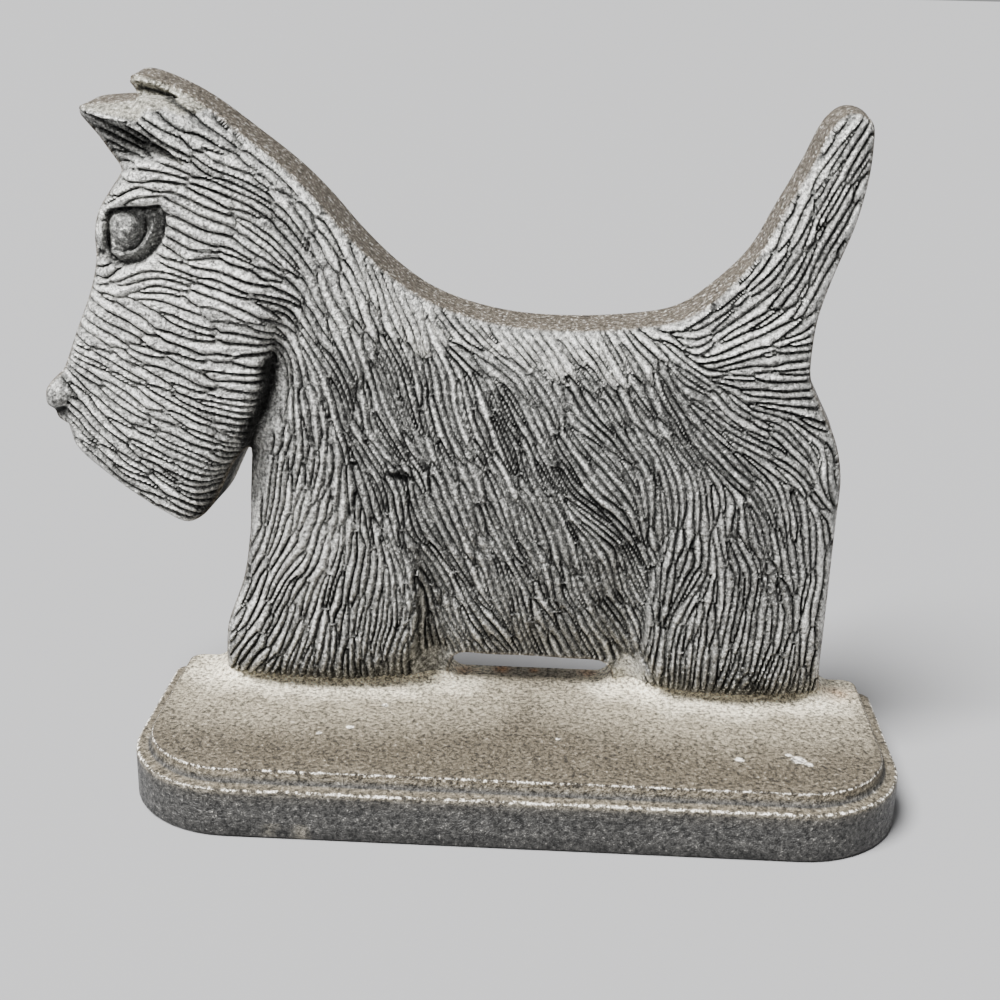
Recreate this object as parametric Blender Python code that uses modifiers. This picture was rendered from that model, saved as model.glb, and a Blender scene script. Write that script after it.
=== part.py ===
"""Cast iron terrier on a stepped plinth, poured as one flat-backed casting.

The dog faces -X, its flat back lies in the plane of the plinth's back (+Y side), and +Z is up.
The origin is the centre of the plinth's underside. All sizes at the top are metres. The dog is
carved on a grid whose cell is a fixed share of its height, so its numbers below are grid cells,
which are one millimetre at the height given here.
"""

import math
import random

import bmesh
import bpy
import numpy as np
from mathutils import Vector
from mathutils.geometry import delaunay_2d_cdt

# Plinth
PLINTH_WIDTH = 0.150
PLINTH_DEPTH = 0.052
WALL_HEIGHT = 0.0101
STEP_HEIGHT = 0.0029
BORDER = 0.0031
FRONT_CORNER_RADIUS = 0.021
BACK_CORNER_RADIUS = 0.0025
ARRIS = 0.0007
CORNER_STEPS = 12
BACK_CORNER_STEPS = 3
ARRIS_STEPS = 2
SHARPEST_EASED_ANGLE = 60

# Dog
DOG_HEIGHT = 0.1234
CELLS_IN_HEIGHT = 123.4
DRAFT = 0.0007
SEAT_DEPTH = 0.002

# Carving, in grid cells
BAND = 8.5
EDGE_REACH = 12.0
LOCK_SPACING = 2.9
LOCK_DEPTH = 0.95
LOCK_STEP = 0.6
LOCK_POINT_SPACING = 2.4
LOCK_LENGTHS = (9.0, 24.0)
LOCK_END_TAPER = 2.6
LOCK_END = 0.2
LOCK_HALF_WIDTH = 0.42
LOCK_MEETING = 0.55
LOCK_SHORTEST = 0.45
LOCK_RIM_GAP = 1.1
LOWEST_LOCK = 2.0
OUTLINE_SPACING = 2.2

# Net of the carved front, in grid cells; the last two are shares of other spacings
LINE_SPACING = 1.7
LINE_CLEARANCE = 0.62
LOCK_CLEARANCE = 0.7
RIM_CLEARANCE = 0.95
EYE_POINTS = 12
EYE_RINGS = (0.55, 1.0)
EYE_CLEARANCE = 0.5
BUCKET = 2.0
MERGE_DISTANCE = 1e-5
WELD_DISTANCE = 1e-6
CREST_CLEARANCE = 0.43
LONGEST_LINK = 1.55
SEED = 11
LARGEST_TABLE = 2_000_000
TINY = 1e-9

CASTING_NAME = "terrier_on_plinth"
IRON_COLOUR = (0.085, 0.083, 0.080, 1.0)
IRON_ROUGHNESS = 0.55
IRON_METALLIC = 0.85

GRID = DOG_HEIGHT / CELLS_IN_HEIGHT
PLATEAU_TOP = WALL_HEIGHT + STEP_HEIGHT
BACK_Y = PLINTH_DEPTH / 2
SEAT = SEAT_DEPTH / GRID

# Outline of the back face, clockwise from the tip of the far ear. A third value marks a corner.
OUTLINE = [
    (-76.9, 121.9), (-74.5, 123.4), (-68.8, 121.9), (-62.0, 118.6), (-53.4, 112.6), (-45.0, 106.2),
    (-39.0, 100.4), (-33.7, 94.4), (-27.0, 88.0), (-20.0, 83.1), (-12.0, 80.0), (-2.0, 78.1),
    (10.0, 77.8), (21.8, 78.8), (29.0, 80.5), (35.0, 84.6), (42.2, 92.0), (46.8, 100.8),
    (51.2, 109.5), (54.5, 116.8), (57.5, 119.5), (60.7, 119.4), (63.2, 117.3), (63.7, 113.0),
    (63.3, 106.0), (61.7, 98.0), (58.8, 89.3), (56.6, 81.5), (55.5, 74.0), (55.8, 68.5),
    (58.2, 63.3), (61.6, 56.5), (63.2, 49.0), (63.1, 40.0), (62.9, 22.0), (62.8, 8.0),
    (63.3, 2.0), (63.8, -SEAT, 1), (19.0, -SEAT, 1), (18.6, 3.8), (16.8, 5.7), (9.7, 6.1),
    (-8.0, 6.4), (-12.4, 6.2), (-14.2, 4.2), (-14.6, -SEAT, 1), (-63.6, -SEAT, 1), (-62.6, 2.5),
    (-62.2, 7.5), (-61.5, 13.0), (-57.9, 23.5), (-56.4, 33.0), (-55.8, 44.0), (-55.4, 51.0, 1),
    (-57.4, 48.3), (-59.2, 44.6), (-61.2, 40.4), (-63.8, 37.2), (-67.4, 35.5), (-71.4, 36.9),
    (-79.0, 41.7), (-86.2, 47.2), (-89.8, 51.0), (-91.2, 55.2, 1), (-93.6, 56.8), (-95.2, 59.4),
    (-95.0, 62.7), (-93.4, 65.3), (-91.4, 67.2), (-88.1, 75.3), (-84.9, 83.6), (-83.7, 89.0),
    (-83.7, 93.6), (-82.7, 97.8), (-80.1, 102.0), (-77.8, 105.2, 1), (-82.3, 110.6), (-86.0, 114.8),
    (-86.9, 116.6), (-86.0, 118.1), (-84.0, 118.6), (-79.0, 118.7), (-74.8, 118.8, 1),
]

# Layers that stand in front of the body, as closed outlines of (u, v, softness of that edge).
HEAD = [
    (-110, 22, 1), (-62, 28, 1.8), (-57.3, 47, 1.6), (-54.6, 51.8, 1.6), (-52.4, 58.8, 1.5),
    (-50.7, 64.3, 1.1), (-49.8, 69.6, 1.0), (-49.2, 75.0, 2.6), (-48.0, 83.0, 6.0),
    (-47.0, 92.0, 8.0), (-50.0, 102.0, 8.0), (-55.0, 110.0, 5.0), (-60.0, 115.0, 2.2),
    (-63.5, 117.6, 1.0), (-69.0, 118.9, 0.7), (-76.0, 118.9, 0.7), (-110, 119.5, 0.7),
]
FORELEG = [
    (-75, -6, 1), (-60, 1.0, 1.2), (-34, 0.2, 1.2), (-26.0, 2.2, 1.0), (-23.0, 5.3, 0.8),
    (-21.4, 9.5, 0.8), (-20.6, 16.0, 0.8), (-20.2, 24.3, 1.0), (-22.1, 38.0, 1.4),
    (-23.7, 47.0, 3.0), (-28.0, 57.0, 7.0), (-40.0, 64.0, 9.0), (-55.0, 60.0, 9.0), (-75, 50, 9),
]
HINDLEG = [
    (75, -6, 1), (60.5, 1.0, 1.2), (48.0, 0.2, 1.2), (31.0, 0.8, 1.0), (27.8, 4.0, 0.8),
    (25.2, 10.7, 0.8), (25.4, 20.5, 0.9), (26.8, 30.5, 1.2), (28.8, 37.5, 1.8), (33.0, 49.0, 4.0),
    (37.0, 57.0, 8.0), (46.0, 63.0, 9.0), (60.0, 60.0, 9.0), (75, 50, 9),
]
EAR_HOLLOW = [
    (-92, 118.4, 0.6), (-82.6, 115.9, 0.6), (-77.0, 114.7, 0.6), (-72.4, 113.0, 0.7),
    (-67.5, 110.0, 0.8), (-63.8, 106.8, 1.0), (-68.0, 107.9, 1.0), (-72.7, 107.6, 1.0),
    (-75.6, 105.6, 1.0), (-90, 104.0, 1.0),
]
EYE_OPENING = [
    (-80.2, 96.2, 0.3), (-79.3, 98.1, 0.3), (-77.8, 98.9, 0.3), (-74.9, 99.3, 0.3),
    (-72.0, 99.5, 0.3), (-68.9, 100.0, 0.3), (-67.9, 98.0, 0.5), (-68.2, 94.5, 0.6),
    (-69.5, 91.5, 0.6), (-72.2, 88.9, 0.6), (-75.6, 87.9, 0.6), (-79.2, 88.2, 0.5),
    (-80.8, 88.7, 0.4), (-80.7, 92.6, 0.3),
]
EYE_CENTRE = (-76.3, 95.4)
EYE_RADIUS = 3.2
SMOOTH_ROUND_EYE = 7.2
NOSE_CENTRE = (-91.5, 61.2)
NOSE_RADIUS = 4.2
SMOOTH_EARS = (-60.0, 114.5)

# Swellings of a layer: (u, v, radius along u, radius along v, height).
BODY_SWELLS = [
    (0, 50, 36, 22, 3.6), (-36, 74, 14, 16, 1.6), (44, 50, 18, 18, 1.6), (2, 6, 20, 10, -3.0),
    (-51, 56, 7, 16, -3.0), (-38, 92, 16, 14, 1.6), (-17, 17, 6, 15, -2.2), (21, 16, 6, 16, -2.4),
    (-17, 4, 5, 5, -2.4),
]
HEAD_SWELLS = [
    (-66, 74, 15, 18, 2.6), (-63, 52, 11, 13, 2.4), (-74, 103, 9, 4, 1.2), (-88, 62, 7, 8, -2.2),
    (-66, 116, 14, 5, -1.5),
]
BODY_CROWN, HEAD_CROWN, LEG_CROWN, EAR_HOLLOW_CROWN = 13.0, 17.2, 15.6, 12.6
TAIL_CROWN, FAR_EAR_CROWN = 10.8, 9.2
LEG_NARROWING, LEG_NARROWING_TOP, LEG_NARROWING_RUN = 2.6, 14.0, 13.0
FOOT_TUCK, FOOT_TUCK_RISE = 1.8, 3.2
SOCKET_DEPTH, EYE_STANDOUT = 1.7, 0.85

# Zones: (start u, run along u, start v, run along v) over which they come in.
TAIL_ZONE = (34.0, 8.0, 72.0, 10.0)
FAR_EAR_ZONE = (-60.0, -4.0, 117.0, 2.0)
NEAR_EAR_ZONE = (-66.0, -14.0, 107.0, 5.0)
BEARD_TOP, BEARD_RUN = 84.0, 18.0

# Rounded zones: (u, v, radius along u, radius along v, height), as for the swellings.
NECK_ZONE = [(-38, 98, 16, 16, 1)]
TAIL_ROOT_ZONE = [(36, 85, 9, 9, 1)]

# What each zone adds to the edge band's depth and to the reach of the rounded edge.
NECK_BAND, TAIL_ROOT_BAND, TAIL_BAND = 2.6, 1.8, -2.2
HEAD_BAND, BEARD_BAND, NEAR_EAR_BAND = 1.5, 1.3, -2.4
TAIL_REACH, HEAD_REACH, FAR_EAR_REACH, BEARD_REACH = -4.0, -4.0, -3.0, -2.6

# A layer's edge is rolled over this many times its softness, unless it is softer than the limit.
ROLL, SOFT_FROM, SOFT_RUN = 3.0, 1.8, 2.5
STEP_FOOT, STEP_HEAD = 0.05, 1.2

# Carved lines: (width, height, [points]). A negative height is cut in, a positive one stands out.
FEATURES = [
    (0.75, -1.8, [(-79.9, 97.0), (-80.3, 94.5), (-80.6, 91.6), (-80.5, 88.9)]),
    (0.55, -1.2, [(-80.0, 97.2), (-78.6, 98.4), (-75.6, 98.9), (-72.0, 99.1), (-69.5, 99.6)]),
    (1.3, 0.9, [(-79.2, 99.3), (-77.0, 100.6), (-73.8, 101.2), (-70.2, 101.0)]),
    (0.7, 1.6, [(-70.4, 98.0), (-70.7, 95.1), (-72.2, 92.5), (-74.5, 91.0), (-76.9, 90.4),
                (-79.0, 90.7)]),
    (0.45, -0.8, [(-72.5, 97.2), (-72.3, 94.5), (-73.8, 91.9), (-76.6, 90.9), (-79.0, 91.2)]),
    (0.8, -0.7, [(-68.5, 98.4), (-68.9, 94.2), (-70.6, 91.4), (-73.4, 89.2), (-77.0, 88.5),
                 (-79.8, 88.8)]),
    (0.5, 1.0, [(-74.6, 121.6), (-71.1, 121.2), (-68.7, 120.1), (-65.9, 118.6), (-63.0, 116.9)]),
    (0.5, -1.1, [(-73.6, 120.1), (-70.8, 119.7), (-68.0, 118.6), (-65.6, 117.4)]),
    (0.9, 0.9, [(-83.0, 116.8), (-77.0, 116.0), (-72.0, 114.4), (-66.0, 111.2)]),
    (0.75, -1.9, [(-94.2, 57.2), (-92.8, 57.7), (-91.4, 58.3)]),
    (0.6, -0.9, [(-91.2, 55.4), (-90.5, 58.2), (-90.6, 61.0), (-90.0, 63.5)]),
    (2.0, 1.5, [(-92.8, 62.6), (-92.2, 61.0)]),
    (1.1, -1.3, [(-25.5, 47.6), (-23.6, 46.8)]),
]

# Comb strokes of the coat, root to tip, by the part of the coat that they comb.
COMB = {
    "head": [
        [(-81, 98), (-73, 103), (-67, 103), (-51, 94)], [(-76, 105), (-68, 107), (-53, 103)],
        [(-69, 97), (-51, 90)], [(-70, 93), (-64, 90), (-59, 91), (-51, 87)],
        [(-82, 85), (-72, 89), (-59, 87), (-48, 82)], [(-84, 81), (-69, 75), (-49, 72)],
        [(-86, 73), (-75, 67), (-53, 61)], [(-87, 69), (-77, 64), (-73, 61), (-58, 56)],
        [(-90, 66), (-83, 59), (-73, 56), (-59, 49)], [(-90, 60), (-79, 51), (-65, 44), (-62, 44)],
        [(-90, 55), (-78, 45), (-65, 39)], [(-83, 115), (-69, 107)],
        [(-82, 117), (-71, 117), (-59, 110)], [(-68, 113), (-60, 106), (-51, 104)],
    ],
    "body": [
        [(-58, 116), (-47, 107), (-38, 96)], [(-51, 102), (-44, 91), (-39, 81)],
        [(-39, 101), (-32, 90), (-25, 72), (-23, 65)], [(-35, 98), (-21, 75), (-15, 53)],
        [(-48, 101), (-36, 79), (-30, 57)], [(-55, 86), (-44, 80), (-38, 70), (-32, 57), (-24, 49)],
        [(-56, 78), (-47, 74), (-45, 70), (-41, 54)], [(-50, 68), (-53, 44), (-54, 34), (-59, 19)],
        [(-46, 68), (-46, 54), (-50, 31), (-59, 10)], [(-40, 51), (-44, 32), (-57, 6)],
        [(-36, 52), (-37, 34), (-46, 4)], [(-34, 51), (-30, 32), (-33, 3)],
        [(-36, 57), (-26, 44), (-21, 24)], [(-30, 41), (-23, 27), (-22, 19), (-25, 5)],
        [(-20, 84), (-11, 74)], [(-14, 77), (-2, 67), (9, 46), (20, 35)], [(-19, 69), (1, 11)],
        [(-2, 78), (10, 60), (16, 57)], [(-6, 55), (13, 12)],
        [(6, 78), (12, 72), (25, 53), (27, 38)], [(-24, 48), (-20, 38), (-11, 22), (-3, 10)],
        [(-20, 29), (-13, 13)], [(13, 39), (18, 33), (26, 12)], [(4, 49), (19, 13)],
        [(12, 78), (23, 62)], [(18, 76), (24, 71), (33, 51)],
        [(21, 80), (29, 79), (40, 90), (48, 104)], [(33, 74), (44, 82), (62, 110)],
        [(35, 78), (50, 94), (61, 115)], [(40, 74), (51, 81), (61, 104)], [(45, 96), (57, 118)],
        [(34, 71), (54, 74)], [(36, 70), (55, 67)], [(21, 78), (26, 76), (40, 64)],
    ],
    "hindleg": [
        [(31, 65), (51, 52), (60, 42)], [(27, 60), (44, 47), (48, 41), (55, 22), (55, 10)],
        [(33, 50), (29, 31), (27, 9)], [(35, 49), (37, 31), (30, 19), (29, 4)],
        [(37, 44), (41, 24), (37, 3)], [(42, 44), (41, 38), (45, 31), (46, 24), (40, 4)],
        [(45, 45), (49, 37), (51, 29), (48, 5)], [(51, 47), (57, 29), (54, 10)],
        [(56, 47), (60, 27), (58, 8)], [(54, 64), (59, 59), (61, 45)], [(43, 69), (54, 67)],
        [(49, 67), (59, 58)],
    ],
}
COMB_SAMPLE = 1.5
COMB_FALLOFF = 2.0
COMB_POWER = 1.6


def smooth_closed_curve(controls, spacing):
    """Points about `spacing` apart on a curve through the controls, with its corners kept."""
    points = []
    count = len(controls)
    for i in range(count):
        p0, p1, p2, p3 = (np.array(controls[(i + k) % count][:2], float) for k in (-1, 0, 1, 2))
        length = np.linalg.norm(p2 - p1)
        sharp_start = len(controls[i]) > 2
        sharp_end = len(controls[(i + 1) % count]) > 2
        before, after = np.linalg.norm(p1 - p0), np.linalg.norm(p3 - p2)
        m1 = (p2 - p1) if sharp_start else (p2 - p0) * length / (length + before)
        m2 = (p2 - p1) if sharp_end else (p3 - p1) * length / (length + after)
        pieces = max(1, round(length / spacing))
        for t in np.arange(pieces) / pieces:
            a, b = 2 * t**3 - 3 * t**2 + 1, t**3 - 2 * t**2 + t
            c, d = -2 * t**3 + 3 * t**2, t**3 - t**2
            points.append(a * p1 + b * m1 + c * p2 + d * m2)
    return np.array(points)


def nearest_on_path(points, path, closed=False):
    """Distance, segment number and share of the segment of each point's nearest place on a path."""
    start = path if closed else path[:-1]
    end = np.roll(path, -1, axis=0) if closed else path[1:]
    along = end - start
    squared = np.maximum((along**2).sum(axis=1), TINY)
    distance = np.empty(len(points))
    segment = np.empty(len(points), int)
    share = np.empty(len(points))
    block = max(1, LARGEST_TABLE // len(start))
    for first in range(0, len(points), block):
        part = points[first : first + block]
        offset = part[:, None, :] - start[None]
        t = np.clip((offset * along).sum(axis=2) / squared, 0.0, 1.0)
        gap = np.linalg.norm(offset - t[..., None] * along, axis=2)
        best = gap.argmin(axis=1)
        rows = np.arange(len(part))
        distance[first : first + block] = gap[rows, best]
        segment[first : first + block] = best
        share[first : first + block] = t[rows, best]
    return distance, segment, share


def inside(points, path):
    """Whether each point lies inside a closed path."""
    x, y = points[:, 0], points[:, 1]
    found = np.zeros(len(points), bool)
    for (ax, ay), (bx, by) in zip(path, np.roll(path, -1, axis=0)):
        crosses = (ay > y) != (by > y)
        at = (bx - ax) * (y - ay) / (by - ay if by != ay else TINY) + ax
        found ^= crosses & (x < at)
    return found


def smoothstep(value):
    value = np.clip(value, 0.0, 1.0)
    return value * value * (3 - 2 * value)


def layer_share(points, layer):
    """How far each point belongs to a layer, from 0 outside to 1 inside, rolled or soft at its edge."""
    layer = np.array(layer, float)
    distance, segment, share = nearest_on_path(points, layer[:, :2], closed=True)
    soft = layer[segment, 2] * (1 - share) + np.roll(layer[:, 2], -1)[segment] * share
    signed = np.where(inside(points, layer[:, :2]), distance, -distance)
    blended = smoothstep(0.5 + signed / (2 * soft))
    rolled = np.sqrt(1 - (1 - np.clip(signed / (ROLL * soft), 0, 1)) ** 2)
    return rolled + (blended - rolled) * smoothstep((soft - SOFT_FROM) / SOFT_RUN)


def swelling(points, swells):
    """Sum of the rounded swellings at each point."""
    total = np.zeros(len(points))
    for u, v, wide, high, height in swells:
        total += height * np.exp(
            -(((points[:, 0] - u) / wide) ** 2) - ((points[:, 1] - v) / high) ** 2
        )
    return total


def zone_share(points, zone):
    """How far each point is inside a zone that comes in along u and along v."""
    start_u, run_u, start_v, run_v = zone
    return smoothstep((points[:, 0] - start_u) / run_u) * smoothstep((points[:, 1] - start_v) / run_v)


def thickness(points, outline):
    """Distance of the carved front from the flat back at each point, without the coat's locks."""
    height = points[:, 1]
    edge, _, _ = nearest_on_path(points, outline, closed=True)
    tail, far_ear = zone_share(points, TAIL_ZONE), zone_share(points, FAR_EAR_ZONE)
    head = layer_share(points, HEAD)
    near_ear = zone_share(points, NEAR_EAR_ZONE) * head
    beard = head * smoothstep((BEARD_TOP - height) / BEARD_RUN)
    crown = BODY_CROWN + swelling(points, BODY_SWELLS)
    crown = crown + (TAIL_CROWN - crown) * tail
    crown = crown + (FAR_EAR_CROWN - crown) * far_ear * (1 - head)
    leg = LEG_CROWN - LEG_NARROWING * smoothstep((LEG_NARROWING_TOP - height) / LEG_NARROWING_RUN)
    for layer in (FORELEG, HINDLEG):
        crown = crown + (leg - crown) * layer_share(points, layer)
    crown = crown + (HEAD_CROWN + swelling(points, HEAD_SWELLS) - crown) * head
    crown = crown + (EAR_HOLLOW_CROWN - crown) * layer_share(points, EAR_HOLLOW)
    band = (
        BAND + NECK_BAND * swelling(points, NECK_ZONE) + TAIL_ROOT_BAND * swelling(points, TAIL_ROOT_ZONE)
        + TAIL_BAND * tail + HEAD_BAND * head + BEARD_BAND * beard + NEAR_EAR_BAND * near_ear
    )
    reach = (
        EDGE_REACH + TAIL_REACH * tail + HEAD_REACH * head + FAR_EAR_REACH * far_ear
        + BEARD_REACH * beard
    )
    rise = np.sqrt(1 - (1 - np.clip(edge / reach, 0, 1)) ** 2)
    front = band + (crown - band) * rise + eye(points)
    for width, standout, line in FEATURES:
        gap = nearest_on_path(points, np.array(line, float))[0]
        front += standout * np.exp(-((gap / width) ** 2))
    return front - FOOT_TUCK * np.clip(1 - height / FOOT_TUCK_RISE, 0, 1) ** 2


def eye(points):
    """The round eye in its sunken socket."""
    gap = np.hypot(points[:, 0] - EYE_CENTRE[0], points[:, 1] - EYE_CENTRE[1])
    ball = np.sqrt(np.clip(EYE_RADIUS**2 - gap**2, 0, None)) * EYE_STANDOUT
    return ball - SOCKET_DEPTH * layer_share(points, EYE_OPENING)


def coat_part(points):
    """Number of the comb that each point follows: 0 head, 1 body, 2 hind leg."""
    part = np.ones(len(points), int)
    hind = np.array(HINDLEG, float)[:, :2]
    head = np.array(HEAD, float)[:, :2]
    part[inside(points, hind)] = 2
    part[inside(points, head)] = 0
    return part


class Coat:
    """The direction in which the coat lies, read from the comb strokes on a fixed lattice."""

    CELL = 1.0

    def __init__(self, outline):
        self.low = outline.min(axis=0) - 2
        self.size = np.ceil((outline.max(axis=0) + 2 - self.low) / self.CELL).astype(int) + 1
        cols, rows = np.meshgrid(np.arange(self.size[0]), np.arange(self.size[1]), indexing="ij")
        nodes = np.stack([cols, rows], axis=-1).reshape(-1, 2) * self.CELL + self.low
        self.part = coat_part(nodes).reshape(self.size)
        self.fields = [self.combed(nodes, COMB[name]) for name in ("head", "body", "hindleg")]

    def combed(self, nodes, strokes):
        """Unit directions at the lattice nodes, each a mean of the strokes weighted by nearness."""
        places, headings = [], []
        for stroke in strokes:
            stroke = np.array(stroke, float)
            for a, b in zip(stroke[:-1], stroke[1:]):
                length = np.linalg.norm(b - a)
                for t in (np.arange(max(1, round(length / COMB_SAMPLE))) + 0.5):
                    places.append(a + (b - a) * min(1.0, t * COMB_SAMPLE / length))
                    headings.append((b - a) / length)
        places, headings = np.array(places), np.array(headings)
        field = np.empty_like(nodes)
        block = max(1, LARGEST_TABLE // len(places))
        for first in range(0, len(nodes), block):
            part = nodes[first : first + block]
            gap = ((part[:, None, :] - places[None]) ** 2).sum(axis=2)
            weight = 1.0 / (gap + COMB_FALLOFF) ** COMB_POWER
            field[first : first + block] = weight @ headings
        field /= np.maximum(np.linalg.norm(field, axis=1, keepdims=True), TINY)
        return field.reshape(*self.size, 2)

    def node(self, u, v):
        col = min(max(int((u - self.low[0]) / self.CELL + 0.5), 0), self.size[0] - 1)
        row = min(max(int((v - self.low[1]) / self.CELL + 0.5), 0), self.size[1] - 1)
        return col, row

    def heading(self, u, v, part):
        """Direction at a place, read between the lattice nodes."""
        x, y = (u - self.low[0]) / self.CELL, (v - self.low[1]) / self.CELL
        col = min(max(int(x), 0), self.size[0] - 2)
        row = min(max(int(y), 0), self.size[1] - 2)
        s, t = x - col, y - row
        field = self.fields[part]
        mix = (
            field[col, row] * (1 - s) * (1 - t) + field[col + 1, row] * s * (1 - t)
            + field[col, row + 1] * (1 - s) * t + field[col + 1, row + 1] * s * t
        )
        return mix / (math.hypot(*mix) + TINY)


class Locks:
    """Evenly spaced strokes that follow the coat, each a list of places root to tip."""

    def __init__(self, coat, free, spacing, step, lengths, seed):
        self.coat, self.free, self.spacing, self.step = coat, free, spacing, step
        self.lengths, self.draw = lengths, random.Random(seed)
        self.buckets = {}
        self.strokes = []
        self.comb_all()

    def near(self, u, v, reach):
        """Whether another stroke passes within reach of a place."""
        col, row = int(u // self.spacing), int(v // self.spacing)
        for i in (col - 1, col, col + 1):
            for j in (row - 1, row, row + 1):
                for x, y in self.buckets.get((i, j), ()):
                    if (x - u) ** 2 + (y - v) ** 2 < reach * reach:
                        return True
        return False

    def trace(self, u, v, part, sign, length):
        """Places along one way of a stroke from a start, until it nears another or leaves."""
        places = []
        for _ in range(int(length / self.step)):
            heading = self.coat.heading(u, v, part)
            mid = self.coat.heading(
                u + sign * heading[0] * self.step / 2, v + sign * heading[1] * self.step / 2, part
            )
            u, v = u + sign * mid[0] * self.step, v + sign * mid[1] * self.step
            if not self.free(u, v, part) or self.near(u, v, LOCK_MEETING * self.spacing):
                break
            places.append((u, v))
        return places

    def comb_all(self):
        low, high = self.coat.low, self.coat.low + self.coat.size * self.coat.CELL
        pitch = self.spacing * 0.5
        starts = [
            (low[0] + (i + self.draw.random()) * pitch, low[1] + (j + self.draw.random()) * pitch)
            for i in range(int((high[0] - low[0]) / pitch))
            for j in range(int((high[1] - low[1]) / pitch))
        ]
        self.draw.shuffle(starts)
        for u, v in starts:
            part = int(self.coat.part[self.coat.node(u, v)])
            length = self.draw.uniform(*self.lengths)
            if not self.free(u, v, part) or self.near(u, v, self.spacing):
                continue
            back = self.trace(u, v, part, -1, length * 0.5)
            ahead = self.trace(u, v, part, 1, length * 0.5)
            stroke = back[::-1] + [(u, v)] + ahead
            if len(stroke) * self.step < self.lengths[0] * LOCK_SHORTEST:
                continue
            self.strokes.append(np.array(stroke))
            for x, y in stroke:
                self.buckets.setdefault((int(x // self.spacing), int(y // self.spacing)), []).append(
                    (x, y)
                )


def bare_places(points):
    """Places where the casting is smooth: the eye, the nose, the ears and the ear's hollow."""
    eye_gap = np.hypot(points[:, 0] - EYE_CENTRE[0], points[:, 1] - EYE_CENTRE[1])
    nose_gap = np.hypot(points[:, 0] - NOSE_CENTRE[0], points[:, 1] - NOSE_CENTRE[1])
    ears = (points[:, 1] > SMOOTH_EARS[1]) & (points[:, 0] < SMOOTH_EARS[0])
    hollow = inside(points, np.array(EAR_HOLLOW, float)[:, :2])
    return (eye_gap < SMOOTH_ROUND_EYE) | (nose_gap < NOSE_RADIUS) | ears | hollow


def carve_locks(points, strokes):
    """Depth cut at each point by the grooves along the strokes, shallower towards their ends."""
    cut = np.zeros(len(points))
    half = LOCK_SPACING * LOCK_HALF_WIDTH
    for stroke in strokes:
        low, high = stroke.min(axis=0) - half, stroke.max(axis=0) + half
        close = np.where(((points >= low) & (points <= high)).all(axis=1))[0]
        if len(close) == 0:
            continue
        gap, segment, share = nearest_on_path(points[close], stroke)
        run = np.concatenate([[0], np.cumsum(np.linalg.norm(np.diff(stroke, axis=0), axis=1))])
        at = run[segment] + share * (run[segment + 1] - run[segment])
        ends = smoothstep(LOCK_END + (1 - LOCK_END) * np.minimum(at, run[-1] - at) / LOCK_END_TAPER)
        cut[close] = np.maximum(cut[close], LOCK_DEPTH * ends * np.clip(1 - gap / half, 0, 1))
    return cut


def thin(stroke):
    """Every few places of a stroke, with both ends kept."""
    jump = round(LOCK_POINT_SPACING / LOCK_STEP)
    keep = list(range(0, len(stroke), jump))
    if len(stroke) - 1 - keep[-1] > jump / 2:
        keep.append(len(stroke) - 1)
    return stroke[keep]


class Scatter:
    """Places on the relief that keep a least distance from each other."""

    def __init__(self):
        self.places = []
        self.buckets = {}

    def clear(self, place, reach):
        col, row = int(place[0] // BUCKET), int(place[1] // BUCKET)
        for i in (col - 1, col, col + 1):
            for j in (row - 1, row, row + 1):
                for k in self.buckets.get((i, j), ()):
                    if math.dist(self.places[k], place) < reach:
                        return False
        return True

    def add(self, place):
        key = (int(place[0] // BUCKET), int(place[1] // BUCKET))
        self.buckets.setdefault(key, []).append(len(self.places))
        self.places.append((float(place[0]), float(place[1])))
        return len(self.places) - 1


def relief_net(rim, strokes):
    """Triangles over the front: the rim, the lines of the features and the grooves of the locks."""
    net, edges = Scatter(), []
    ring = [net.add(place) for place in rim]
    edges += list(zip(ring, ring[1:] + ring[:1]))
    lines = [np.array(line, float) for _, _, line in FEATURES]
    for layer in (HEAD, FORELEG, HINDLEG, EAR_HOLLOW, EYE_OPENING):
        lines += step_lines(layer)
    for line in lines:
        line = resampled(line, LINE_SPACING)
        chain = []
        for place in line[inside(line, rim)]:
            rim_gap = nearest_on_path(place[None], rim, closed=True)[0][0]
            if rim_gap > RIM_CLEARANCE and net.clear(place, LINE_CLEARANCE):
                chain.append(net.add(place))
        edges += [
            pair for pair in zip(chain, chain[1:])
            if math.dist(*(net.places[k] for k in pair)) < LONGEST_LINK * LINE_SPACING
        ]
    for k in range(EYE_POINTS):
        turn = 2 * math.pi * k / EYE_POINTS
        for share in EYE_RINGS:
            reach = EYE_RADIUS * share
            place = (EYE_CENTRE[0] + reach * math.cos(turn), EYE_CENTRE[1] + reach * math.sin(turn))
            if net.clear(place, EYE_CLEARANCE):
                net.add(place)
    net.add(EYE_CENTRE)
    beside = []
    for stroke in strokes:
        chain = []
        coarse = thin(stroke)
        for place, ahead in zip(coarse, np.gradient(coarse, axis=0)):
            normal = np.array([-ahead[1], ahead[0]]) / (math.hypot(*ahead) + TINY)
            beside += [place + normal * LOCK_SPACING * 0.5, place - normal * LOCK_SPACING * 0.5]
            chain.append(net.add(place) if net.clear(place, LOCK_CLEARANCE) else None)
        edges += [(a, b) for a, b in zip(chain, chain[1:]) if a is not None and b is not None]
    beside = np.array(beside)
    rim_gap = nearest_on_path(beside, rim, closed=True)[0]
    for place in beside[inside(beside, rim) & (rim_gap > RIM_CLEARANCE)]:
        if net.clear(place, LOCK_SPACING * CREST_CLEARANCE):
            net.add(place)
    verts = [Vector(place) for place in net.places]
    found = delaunay_2d_cdt(verts, edges, [ring], 1, MERGE_DISTANCE)
    return np.array([tuple(v) for v in found[0]]), [tuple(face) for face in found[2]]


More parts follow.
